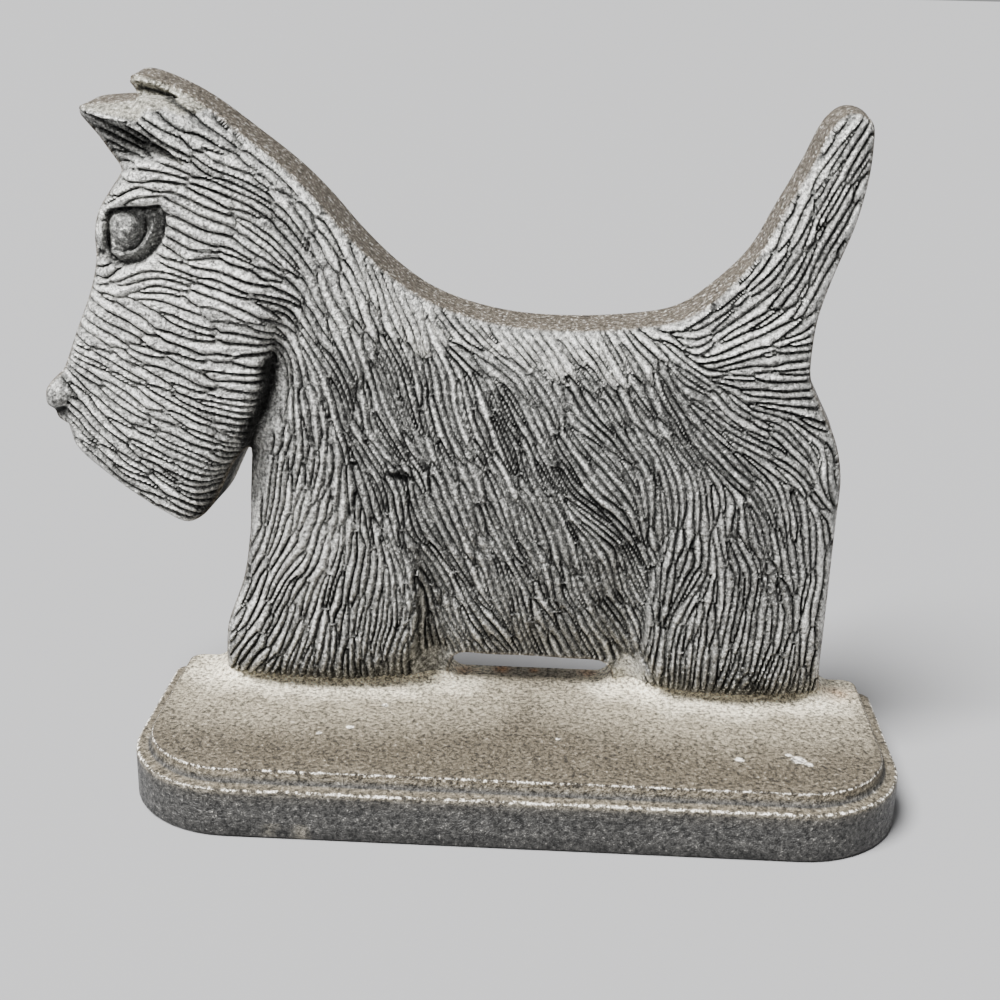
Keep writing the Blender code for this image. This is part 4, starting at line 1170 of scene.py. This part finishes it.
@dataclass
class Plinth:
    """The stepped plinth: wall, border, step and plateau, with the metal's fillet at the feet."""

    PIECE = "stepped_plinth"

    width: float = 0.150
    depth: float = 0.052
    wall_height: float = 0.0101
    step_height: float = 0.0029
    border: float = 0.0031
    front_radius: float = 0.021
    back_radius: float = 0.0025
    corner_steps: int = 12
    cell: float = 0.0005
    rim_inset: float = 0.0007
    fillet: float = 0.0017
    fillet_reach: float = 0.0030
    pale_reach: float = 0.0300
    rub_middle: float = -0.042
    rub_reach: float = 0.015
    rub_height: float = 0.004
    rub_strength: float = 0.68
    chip_depth: float = 0.00012
    uneven: float = 0.00007
    uneven_size: float = 0.0035
    calm_back: float = 0.0026
    foot_places: int = 60
    foot_level: float = 1.2
    foot_behind: float = 0.01
    rust_fading: float = 0.9

    @property
    def back(self) -> float:
        """Plane of the flat back."""
        return self.depth / 2

    @property
    def top(self) -> float:
        """Height of the plateau."""
        return self.wall_height + self.step_height

    def path(self, inset: float) -> np.ndarray:
        """Outline from above at a distance in from the wall; the back stays flush.

        Args:
            inset: Distance from the wall.

        Returns:
            Corners of the outline, anticlockwise from the front right.
        """
        half, front = self.width / 2 - inset, inset - self.back
        wide, tight = self.front_radius - inset, self.back_radius
        corners = [
            (half - wide, front + wide, wide, -90), (half - tight, self.back - tight, tight, 0),
            (-half + tight, self.back - tight, tight, 90), (-half + wide, front + wide, wide, 180),
        ]
        points = []
        for x, y, radius, first in corners:
            for k in range(self.corner_steps + 1):
                turn = math.radians(first + 90 * k / self.corner_steps)
                points.append((x + radius * math.cos(turn), y + radius * math.sin(turn)))
        return np.array(points)

    def build(self, relief: Relief) -> bpy.types.Object:
        """Builds the plinth from a trimmed grid and rings drawn down from it.

        Args:
            relief: The dog, whose feet the fillet follows.

        Returns:
            The finished piece.
        """
        rim = self.path(self.border + self.rim_inset)
        piece, flat, _ = trimmed_grid(self.PIECE, rim, self.cell)
        height = self.top + self.fillet * self.near_feet(flat, relief, self.fillet_reach) ** 2
        inner, _, _ = nearest_on_path(flat, rim, closed=True)
        calm = smoothstep(inner / 0.003)
        height += calm * (0.00010 * waves(flat, 0.006, 31) + 0.00004 * waves(flat, 0.0012, 32))
        chips = marked(flat, CHIPS)
        height -= self.chip_depth * chips
        store(piece.data, "pale", self.near_feet(flat, relief, self.pale_reach))
        store(piece.data, "chip", chips)
        store(piece.data, "rust", marked(flat, RUST))
        for name, value in (("level", 1.0), ("arris", 0.0), ("line", 0.0)):
            store(piece.data, name, np.full(len(flat), value))
        write(piece.data.vertices, "co", np.column_stack([flat, height]))
        self.close(piece)
        return finished(piece)

    def near_feet(self, flat: np.ndarray, relief: Relief, reach: float) -> np.ndarray:
        """Tells how near each place of the plateau is to the feet.

        Args:
            flat: Places of the plateau, one row each.
            relief: The dog.
            reach: Distance at which it no longer counts.

        Returns:
            A share for each place, 1 at the feet and 0 at the reach.
        """
        nearness = np.zeros(len(flat))
        for first, last in FEET:
            u = np.linspace(first, last, self.foot_places)
            low = np.column_stack([u, np.full(len(u), self.foot_level)])
            foot = relief.form.thickness(low, relief.outline)
            line = np.column_stack([u * MM, self.back - foot * MM])
            behind = [[end * MM, self.back + self.foot_behind] for end in (last, first)]
            closed = np.vstack([line, behind])
            gap, _, _ = nearest_on_path(flat, closed, closed=True)
            gap[inside(flat, closed)] = 0
            nearness = np.maximum(nearness, np.clip(1 - gap / reach, 0, 1))
        return nearness

    def close(self, piece: bpy.types.Object) -> None:
        """Draws the step, border, arrises and wall down from the plateau, and fills underneath.

        Args:
            piece: The plateau, open at its rim.
        """
        step, wall = self.top, self.wall_height
        # Each ring's distance in from the wall, its height, and what the finish reads there.
        rings = [
            (self.border + 0.00040, step - 0.00004, {"level": 1.0, "arris": 0.5}),
            (self.border + 0.00015, step - 0.00030, {"level": 1.0, "arris": 1.0}),
            (self.border, step - 0.00080, {"level": 0.9, "arris": 0.7}),
            (self.border - 0.00010, wall + 0.0009, {"level": 0.4, "arris": 0.0, "line": 0.6}),
            (self.border - 0.00045, wall + 0.0002, {"level": 0.2, "line": 1.0}),
            (self.border - 0.00100, wall, {"level": 0.6, "line": 0.2}),
            (0.00120, wall, {"level": 0.8, "line": 0.0, "arris": 0.0}),
            (0.00060, wall, {"level": 0.8, "arris": 0.8}),
            (0.00018, wall - 0.00018, {"level": 0.6, "arris": 1.0}),
            (0.0, wall - 0.0007, {"level": 0.3, "arris": 0.5}),
            (0.0, wall - 0.0013, {"level": 0.1, "arris": 0.0}),
            (0.0, wall * 0.66, {"level": 0.0}), (0.0, wall * 0.33, {"level": 0.0}),
            (0.0, 0.0006, {"level": 0.0}), (0.0005, 0.0, {"level": 0.0}),
        ]
        mesh = piece.data
        choose(piece, "EDGE", boundary_edges(mesh))
        for inset, height, marks in rings:
            chosen, at = draw_ring(piece)
            spot = along_ring(self.path(inset), at)
            inward_way = -spot / np.linalg.norm(spot, axis=1, keepdims=True)
            inward_way[spot[:, 1] > self.back - self.calm_back] = 0
            solid = np.column_stack([spot, np.full(len(spot), height)])
            uneven = self.uneven * waves(solid, self.uneven_size, 40)
            spot = spot + inward_way * (np.abs(uneven)[:, None] + 0.00002)
            corners = read(mesh.vertices, "co", 3)
            lift = uneven if 0.001 < height < step - 0.0001 else 0 * uneven
            corners[chosen] = np.column_stack([spot, height + lift])
            write(mesh.vertices, "co", corners)
            away = (spot[:, 0] - self.rub_middle) / self.rub_reach
            rubbed = np.exp(-(away**2)) * (spot[:, 1] < 0)
            rubbed *= self.rub_strength * (height < self.rub_height)
            fading = read(mesh.attributes["rust"].data, "value", 1)[chosen] * self.rust_fading
            for name, value in (marks | {"pale": rubbed, "chip": 0.0, "rust": fading}).items():
                change(mesh, name, chosen, value)
        fill_ring(piece)


def marked(flat: np.ndarray, marks: list) -> np.ndarray:
    """Tells how far each place of the plateau lies in one of some marks.

    Args:
        flat: Places of the plateau, one row each.
        marks: The marks.

    Returns:
        A share for each place, 1 in the middle of a mark.
    """
    found = np.zeros(len(flat))
    for x, y, radius in marks:
        gap = np.hypot(flat[:, 0] - x * MM, flat[:, 1] - y * MM) / (radius * MM)
        found = np.maximum(found, np.exp(-(gap**2)))
    return found


def along_ring(ring: np.ndarray, at: np.ndarray) -> np.ndarray:
    """Finds places on a closed ring.

    Args:
        ring: Corners of the ring.
        at: Segment number plus share of that segment, for each place.

    Returns:
        The places, one row each.
    """
    k, t = at.astype(int) % len(ring), (at - at.astype(int))[:, None]
    return ring[k] * (1 - t) + np.roll(ring, -1, axis=0)[k] * t


def trimmed_grid(
    name: str, rim: np.ndarray, side: float
) -> tuple[bpy.types.Object, np.ndarray, np.ndarray]:
    """Adds a fine flat grid, deletes its faces outside a rim and draws its edge onto the rim.

    Args:
        name: Name of the piece.
        rim: Closed outline of the grid.
        side: About how long a cell's sides are.

    Returns:
        The piece, the places of its points, and the numbers of those on the rim.
    """
    low, high = rim.min(axis=0), rim.max(axis=0)
    cells = np.ceil((high - low) / side).astype(int)
    deselect()
    bpy.ops.mesh.primitive_grid_add(
        x_subdivisions=int(cells[0]), y_subdivisions=int(cells[1]), size=1)
    piece = bpy.context.object
    piece.name = piece.data.name = name
    flat = (read(piece.data.vertices, "co", 3)[:, :2] + 0.5) * (high - low) + low
    gap, _, _ = nearest_on_path(flat, rim, closed=True)
    kept = inside(flat, rim) & (gap > side * RIM_CLEARANCE)
    corners = read(piece.data.loops, "vertex_index", 1, int).reshape(-1, 4)
    whole = without_pinches(
        kept[corners].all(axis=1), flat[corners].mean(axis=1), low, (high - low) / cells)
    write(piece.data.vertices, "co", np.column_stack([flat, np.zeros(len(flat))]))
    choose(piece, "FACE", ~whole)
    edit(piece, "FACE")
    bpy.ops.mesh.delete(type="FACE")
    leave_edit()
    places = read(piece.data.vertices, "co", 3)[:, :2]
    edge = boundary_verts(piece.data)
    _, segment, share = nearest_on_path(places[edge], rim, closed=True)
    around = np.full(len(places), -1.0)
    around[edge] = segment + share
    store(piece.data, AROUND, around)
    places[edge] = along_ring(rim, around[edge])
    return piece, places, edge


def draw_ring(piece: bpy.types.Object) -> tuple[np.ndarray, np.ndarray]:
    """Extrudes the chosen edges of a piece in place.

    Args:
        piece: The piece, with its last ring of edges chosen.

    Returns:
        The numbers of the new points, and where each lies round the rim.
    """
    edit(piece, "EDGE")
    bpy.ops.mesh.extrude_edges_move()
    leave_edit()
    chosen = np.where(read(piece.data.vertices, "select", 1, bool))[0]
    return chosen, read(piece.data.attributes[AROUND].data, "value", 1)[chosen]


def fill_ring(piece: bpy.types.Object) -> None:
    """Closes a piece with one face.

    Args:
        piece: The piece, with its last ring of edges chosen.
    """
    edit(piece, "EDGE")
    bpy.ops.mesh.edge_face_add()
    leave_edit()


def read(
    items: bpy.types.bpy_prop_collection, name: str, wide: int, kind: type = float
) -> np.ndarray:
    """Reads one value of every item of a mesh.

    Args:
        items: The mesh's points, edges, loops, faces or stored numbers.
        name: Name of the value.
        wide: How many numbers it has.
        kind: Their type.

    Returns:
        The values as an array, one row each where there are several.
    """
    found = np.empty(len(items) * wide, dtype={float: np.float32, int: np.int32, bool: bool}[kind])
    items.foreach_get(name, found)
    found = found.astype(float) if kind is float else found
    return found.reshape(-1, wide) if wide > 1 else found


def write(items: bpy.types.bpy_prop_collection, name: str, values: np.ndarray) -> None:
    """Writes one value of every item of a mesh."""
    items.foreach_set(name, np.ascontiguousarray(values, dtype=np.float32).ravel())


def store(mesh: bpy.types.Mesh, name: str, values: np.ndarray) -> None:
    """Keeps a number at each corner point of a mesh for its finish."""
    attribute = mesh.attributes.new(name, "FLOAT", "POINT")
    write(attribute.data, "value", values)


def change(
    mesh: bpy.types.Mesh, name: str, chosen: np.ndarray, value: np.ndarray | float
) -> None:
    """Changes a stored number at some points of a mesh.

    Args:
        mesh: The mesh.
        name: Name of the number.
        chosen: Which points.
        value: The new number, or one for each of them.
    """
    stored = mesh.attributes[name].data
    values = read(stored, "value", 1)
    values[chosen] = value
    write(stored, "value", values)


def deselect() -> None:
    """Leaves edit mode and deselects everything."""
    leave_edit()
    bpy.ops.object.select_all(action="DESELECT")


def edit(piece: bpy.types.Object, kind: str) -> None:
    """Opens a piece in edit mode.

    Args:
        piece: The piece.
        kind: What is worked on: VERT, EDGE or FACE.
    """
    bpy.context.view_layer.objects.active = piece
    bpy.ops.object.mode_set(mode="EDIT")
    bpy.ops.mesh.select_mode(type=kind)


def leave_edit() -> None:
    """Goes back to object mode."""
    if bpy.context.object is not None and bpy.context.object.mode != "OBJECT":
        bpy.ops.object.mode_set(mode="OBJECT")


def choose(piece: bpy.types.Object, kind: str, chosen: np.ndarray) -> None:
    """Chooses edges or faces of a piece and nothing else.

    Args:
        piece: The piece.
        kind: EDGE or FACE.
        chosen: Whether each of them is chosen.
    """
    mesh = piece.data
    for name, items in (("VERT", mesh.vertices), ("EDGE", mesh.edges), ("FACE", mesh.polygons)):
        flags = chosen if name == kind else np.zeros(len(items), bool)
        items.foreach_set("select", flags)
    bpy.context.tool_settings.mesh_select_mode = tuple(kind == k for k in ("VERT", "EDGE", "FACE"))


def boundary_edges(mesh: bpy.types.Mesh) -> np.ndarray:
    """Tells which edges have a face on one side only."""
    used = np.bincount(read(mesh.loops, "edge_index", 1, int), minlength=len(mesh.edges))
    return used == 1


def boundary_verts(mesh: bpy.types.Mesh) -> np.ndarray:
    """Lists the points on the open edge of a mesh."""
    ends = read(mesh.edges, "vertices", 2, int)
    return np.unique(ends[boundary_edges(mesh)])


def without_pinches(
    whole: np.ndarray, centres: np.ndarray, low: np.ndarray, cell: np.ndarray, passes: int = 6
) -> np.ndarray:
    """Drops faces of a grid that would touch the rest only at a corner or stick out singly.

    Args:
        whole: Whether each face is kept so far.
        centres: Centres of the faces.
        low: Lowest corner of the grid.
        cell: Sides of a cell.
        passes: How often to go over the grid.

    Returns:
        Whether each face is kept.
    """
    spots = ((centres - low) / cell).astype(int)
    table = np.zeros(spots.max(axis=0) + 3, bool)
    cols, rows = spots[:, 0] + 1, spots[:, 1] + 1
    table[cols, rows] = whole
    for _ in range(passes):
        sides = sum(np.roll(table, shift, axis).astype(int) for shift in (-1, 1) for axis in (0, 1))
        table &= sides >= 2
        a, b = table[:-1, :-1], table[1:, 1:]
        c, d = table[1:, :-1], table[:-1, 1:]
        slash, back = a & b & ~c & ~d, c & d & ~a & ~b
        table[:-1, :-1] &= ~slash
        table[1:, :-1] &= ~back
    return table[cols, rows]


def finished(piece: bpy.types.Object) -> bpy.types.Object:
    """Finishes a piece: doubles merged, faces outward, smooth but for its real edges.

    Args:
        piece: The closed piece.

    Returns:
        The same piece.
    """
    edit(piece, "VERT")
    bpy.ops.mesh.select_all(action="SELECT")
    bpy.ops.mesh.remove_doubles(threshold=MERGE_DISTANCE)
    bpy.ops.mesh.quads_convert_to_tris(quad_method="BEAUTY", ngon_method="BEAUTY")
    bpy.ops.mesh.select_all(action="SELECT")
    bpy.ops.mesh.normals_make_consistent(inside=False)
    leave_edit()
    deselect()
    piece.select_set(True)
    bpy.ops.object.shade_smooth_by_angle(angle=SHARP_ANGLE)
    deselect()
    return piece


def linear(colour: str) -> Colour:
    """Turns an sRGB colour linear.

    Args:
        colour: The colour as a hex code.

    Returns:
        Red, green, blue and alpha.
    """
    parts = [int(colour[k : k + 2], 16) / 255 for k in (1, 3, 5)]
    red, green, blue = (c / 12.92 if c <= 0.04045 else ((c + 0.055) / 1.055) ** 2.4 for c in parts)
    return red, green, blue, 1.0


def add(tree: bpy.types.NodeTree, kind: str, settings: dict, links: dict) -> bpy.types.Node:
    """Adds a node to a material.

    Args:
        tree: The material's nodes.
        kind: The node's type.
        settings: Its own settings by name.
        links: Its inputs by name or number, each a value or another node's output.

    Returns:
        The node.
    """
    node = tree.nodes.new(kind)
    for name, value in settings.items():
        setattr(node, name, value)
    for name, value in links.items():
        if isinstance(value, bpy.types.NodeSocket):
            tree.links.new(value, node.inputs[name])
        else:
            node.inputs[name].default_value = value
    return node


class Surface(Enum):
    """Which surface of the casting a finish is for."""

    COAT = "coat"
    PLINTH = "plinth"


@dataclass(frozen=True)
class SandCastIron:
    """Iron as poured in a sand mould, darkened by age and worn bright on its ridges.

    The sand leaves a coarse grain, over which small glints are painted as highlights; the dark
    patina stays in the grooves, darkened further as painted shade, and handling has polished the
    crests to a dull silver, painted lighter still as highlight.
    """

    surface: Surface
    groove: str
    flat: str
    crest: str
    patina: str
    pale: str
    rust: str = "#a7794f"
    # The real sand is about 0.4 mm, too fine to show here, so it is drawn twice as coarse.
    grain: float = 0.80 * MM
    bump: float = 0.80 * MM
    patch: float = 9 * MM
    speckle: tuple[float, float] = (0.28, 1.65)
    glints: tuple[float, float] = (0.57, 0.66)
    roughness: float = 0.45
    sheen_spread: float = 0.12
    soot_and_shade_roughness: float = 0.6
    metallic: float = 0.70

    def build(self) -> bpy.types.Material:
        """Makes the material.

        Returns:
            The material.
        """
        iron = bpy.data.materials.new(f"sand_cast_iron_{self.surface.value}")
        iron.use_nodes = True
        tree = iron.node_tree
        shader = tree.nodes["Principled BSDF"]
        shader.inputs["Metallic"].default_value = self.metallic
        sand = self.noise(tree, self.grain, 3.0, 0.78)
        colour = self.coat(tree) if self.surface is Surface.COAT else self.plinth(tree, sand)
        # The sand's grain speckles the colour; its lighter specks are partly painted glints.
        speckle = add(tree, "ShaderNodeMapRange", {}, {
            "Value": sand, "From Min": 0.38, "From Max": 0.62,
            "To Min": self.speckle[0], "To Max": self.speckle[1],
        }).outputs["Result"]
        colour = add(tree, "ShaderNodeVectorMath", {"operation": "SCALE"}, {
            0: colour, "Scale": speckle,
        }).outputs["Vector"]
        # Painted glints: the sand's highest grains take the crest colour as highlights, except
        # where the grooves' sooty patina and painted shade lie.
        soot_and_shade = self.stored(tree, "painted_shade_and_soot")
        clean = self.maths(tree, "SUBTRACT", 1.0, soot_and_shade)
        glint = self.maths(tree, "MULTIPLY", clean, self.share(tree, sand, self.glints))
        tree.links.new(
            self.mixed(tree, glint, colour, linear(self.crest)), shader.inputs["Base Color"])
        rough = add(tree, "ShaderNodeMapRange", {}, {
            "Value": sand, "From Min": 0.3, "From Max": 0.7,
            "To Min": self.roughness + self.sheen_spread,
            "To Max": self.roughness - self.sheen_spread,
        }).outputs["Result"]
        matt = add(tree, "ShaderNodeMath", {"operation": "MULTIPLY_ADD", "use_clamp": True}, {
            0: soot_and_shade, 1: self.soot_and_shade_roughness, 2: rough,
        }).outputs[0]
        tree.links.new(matt, shader.inputs["Roughness"])
        bump = add(tree, "ShaderNodeBump", {}, {
            "Height": sand, "Strength": 1.0, "Distance": self.bump,
        })
        tree.links.new(bump.outputs["Normal"], shader.inputs["Normal"])
        return iron

    def noise(
        self, tree: bpy.types.NodeTree, size: float, detail: float, roughness: float
    ) -> Socket:
        """Adds a noise over the casting.

        Args:
            tree: The material's nodes.
            size: Size of its grains.
            detail: How many finer grains it has in it.
            roughness: How strong those are.

        Returns:
            The noise.
        """
        place = add(tree, "ShaderNodeTexCoord", {}, {}).outputs["Object"]
        return add(tree, "ShaderNodeTexNoise", {}, {
            "Vector": place, "Scale": 1 / size, "Detail": detail, "Roughness": roughness,
        }).outputs["Fac"]

    def stored(self, tree: bpy.types.NodeTree, name: str) -> Socket:
        """Reads a number stored at the points of the mesh."""
        return add(tree, "ShaderNodeAttribute", {"attribute_name": name}, {}).outputs["Fac"]

    def maths(
        self, tree: bpy.types.NodeTree, operation: str, first: Socket | float,
        second: Socket | float
    ) -> Socket:
        """Works out one sum."""
        return add(
            tree, "ShaderNodeMath", {"operation": operation}, {0: first, 1: second}).outputs[0]

    def share(
        self, tree: bpy.types.NodeTree, value: Socket, limits: tuple[float, float]
    ) -> Socket:
        """Spreads a value between two limits to run from 0 to 1."""
        return add(tree, "ShaderNodeMapRange", {"interpolation_type": "SMOOTHSTEP"}, {
            "Value": value, "From Min": limits[0], "From Max": limits[1],
        }).outputs["Result"]

    def mixed(
        self, tree: bpy.types.NodeTree, share: Socket, first: Socket | Colour, second: Colour
    ) -> Socket:
        """Mixes two colours."""
        return add(tree, "ShaderNodeMix", {"data_type": "RGBA"}, {
            0: share, 6: first, 7: second,
        }).outputs[2]

    def layered(self, tree: bpy.types.NodeTree, layers: list, base: Socket | Colour) -> Socket:
        """Lays colours over each other.

        Args:
            tree: The material's nodes.
            layers: What each layer goes by, the limits between which it appears, and its colour.
            base: The colour underneath.

        Returns:
            The colour.
        """
        for amount, limits, shade in layers:
            base = self.mixed(tree, self.share(tree, amount, limits), base, linear(shade))
        return base

    def coat(self, tree: bpy.types.NodeTree) -> Socket:
        """Colours the dog: grooves darkened with sooty patina and painted shade, crests silvery
        with polish and painted highlight, a brown band round its edge.

        Args:
            tree: The material's nodes.

        Returns:
            The colour.
        """
        painted_shade_and_soot, crest_wear_and_highlight, wear_and_painted_light, bare, band = (
            self.stored(tree, name) for name in ("painted_shade_and_soot", "crest_wear_and_highlight", "wear_and_painted_light", "bare", "band")
        )
        # Crests take painted highlight, handled places painted light, the feet painted shade,
        # grooves and recesses sooty patina with painted shade.
        return self.layered(tree, [
            (crest_wear_and_highlight, (0.15, 0.95), self.crest), (wear_and_painted_light, (0.1, 2.0), self.crest),
            (wear_and_painted_light, (-0.05, -2.0), self.groove), (bare, (0.2, 1.0), self.pale),
            (painted_shade_and_soot, (0.15, 0.95), self.groove), (band, (0.1, 0.9), self.patina),
        ], linear(self.flat))

    def plinth(self, tree: bpy.types.NodeTree, sand: Socket) -> Socket:
        """Colours the plinth: grey-beige plateau, pale at the feet, bluish wall.

        Args:
            tree: The material's nodes.
            sand: The grain.

        Returns:
            The colour.
        """
        level, pale, arris, line, chip, rust = (
            self.stored(tree, name) for name in ("level", "pale", "arris", "line", "chip", "rust")
        )
        patches = self.noise(tree, self.patch, 4.0, 0.6)
        cloudy = self.maths(tree, "ADD", pale, self.maths(tree, "MULTIPLY", patches, 0.45))
        colour = self.layered(tree, [
            (level, (0.0, 1.0), self.flat), (cloudy, (0.84, 1.14), self.pale),
        ], linear(self.groove))
        dull = self.maths(tree, "MULTIPLY", level, self.share(tree, cloudy, (0.88, 0.20)))
        colour = self.mixed(tree, dull, colour, linear(self.patina))
        return self.layered(tree, [
            (self.maths(tree, "MULTIPLY", rust, patches), (0.12, 0.75), self.rust),
            (self.maths(tree, "MULTIPLY", chip, sand), (0.15, 0.35), self.crest),
            (line, (0.1, 1.2), self.groove),
            (self.maths(tree, "MULTIPLY", arris, sand), (0.42, 0.60), self.crest),
        ], colour)


@dataclass(frozen=True)
class Studio:
    """Pale floor, soft light from above and the photograph's viewpoint."""

    camera_place: tuple[float, float, float] = (0.0073365, -0.2694, 0.15404)
    camera_right: tuple[float, float, float] = (0.99853436, 0.0498429, 0.02109073)
    camera_up: tuple[float, float, float] = (-0.03628678, 0.32743291, 0.9441774)
    camera_ahead: tuple[float, float, float] = (-0.04015474, 0.94355889, -0.32876165)
    lens: float = 54.0
    sensor: float = 36.0
    nearest: float = 0.01
    sky_way: tuple[float, float, float] = (0.42, 0.40, -1.0)
    sky_energy: float = 13.0
    sky_spread: float = math.radians(26)
    front_place: tuple[float, float, float] = (-0.45, -0.85, 0.55)
    front_side: float = 0.7
    front_power: float = 1.2
    aim: tuple[float, float, float] = (0, 0, 0.06)
    room: str = "#e9e9ea"
    room_strength: float = 0.42
    floor_colour: str = "#8c8c8d"
    floor_roughness: float = 0.8
    floor_side: float = 40.0

    def build(self) -> None:
        """Sets up the camera, the lights, the room and the floor."""
        self.add_camera()
        sky = bpy.data.lights.new("soft_sky", "SUN")
        sky.energy, sky.angle = self.sky_energy, self.sky_spread
        self.hang(sky, (0, 0, 0), self.sky_way)
        front = bpy.data.lights.new("soft_front", "AREA")
        front.size, front.energy = self.front_side, self.front_power
        self.hang(front, self.front_place, Vector(self.aim) - Vector(self.front_place))
        world = bpy.data.worlds.new("pale_room")
        world.use_nodes = True
        background = world.node_tree.nodes["Background"]
        background.inputs["Color"].default_value = linear(self.room)
        background.inputs["Strength"].default_value = self.room_strength
        bpy.context.scene.world = world
        deselect()
        bpy.ops.mesh.primitive_plane_add(size=self.floor_side, location=(0, 0, 0))
        floor = bpy.context.object
        floor.name = floor.data.name = "studio_floor"
        paint = bpy.data.materials.new("pale_matt_floor")
        paint.use_nodes = True
        shader = paint.node_tree.nodes["Principled BSDF"]
        shader.inputs["Base Color"].default_value = linear(self.floor_colour)
        shader.inputs["Roughness"].default_value = self.floor_roughness
        floor.data.materials.append(paint)

    def add_camera(self) -> None:
        """Puts the camera where the photograph was taken from."""
        lens = bpy.data.cameras.new("viewpoint")
        lens.lens, lens.sensor_width, lens.clip_start = self.lens, self.sensor, self.nearest
        camera = bpy.data.objects.new("viewpoint", lens)
        bpy.context.scene.collection.objects.link(camera)
        behind = [-k for k in self.camera_ahead]
        turn = Matrix((self.camera_right, self.camera_up, behind)).transposed()
        camera.matrix_world = Matrix.Translation(self.camera_place) @ turn.to_4x4()
        bpy.context.scene.camera = camera

    def hang(self, lamp: bpy.types.Light, place: tuple, way: tuple | Vector) -> None:
        """Hangs a lamp in the studio.

        Args:
            lamp: The lamp.
            place: Where it hangs.
            way: Which way it shines.
        """
        light = bpy.data.objects.new(lamp.name, lamp)
        bpy.context.scene.collection.objects.link(light)
        light.location = place
        light.rotation_euler = Vector(way).to_track_quat("-Z", "Y").to_euler()


def dress(piece: bpy.types.Object, finish: SandCastIron) -> None:
    """Gives a piece its finish and tells the frame what it stands for.

    Args:
        piece: The piece.
        finish: Its finish.
    """
    piece.data.materials.clear()
    piece.data.materials.append(finish.build())
    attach(piece, BODY)
    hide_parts(NODE)
    LOG.info("%s: %d faces", piece.name, len(piece.data.polygons))


def main() -> None:
    """Builds the studio, the plinth and the dog, and logs how many faces the dog and the plinth
    have.
    """
    logging.basicConfig(level=logging.INFO, format="%(name)s %(message)s")
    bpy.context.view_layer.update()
    Studio().build()
    plinth = Plinth()
    relief = Relief(plinth, Form(), Carving())
    dress(relief.build(), SandCastIron(
        Surface.COAT, "#292928", "#7b7b78", "#efeee9", "#696155", "#a19e92"))
    dress(plinth.build(relief), SandCastIron(
        Surface.PLINTH, "#3f3e3c", "#968d7a", "#ece7dc", "#5b5345", "#e9dfc7",
        speckle=(0.18, 1.72), glints=(0.61, 0.82), metallic=0.35))


if __name__ == "__main__":
    main()
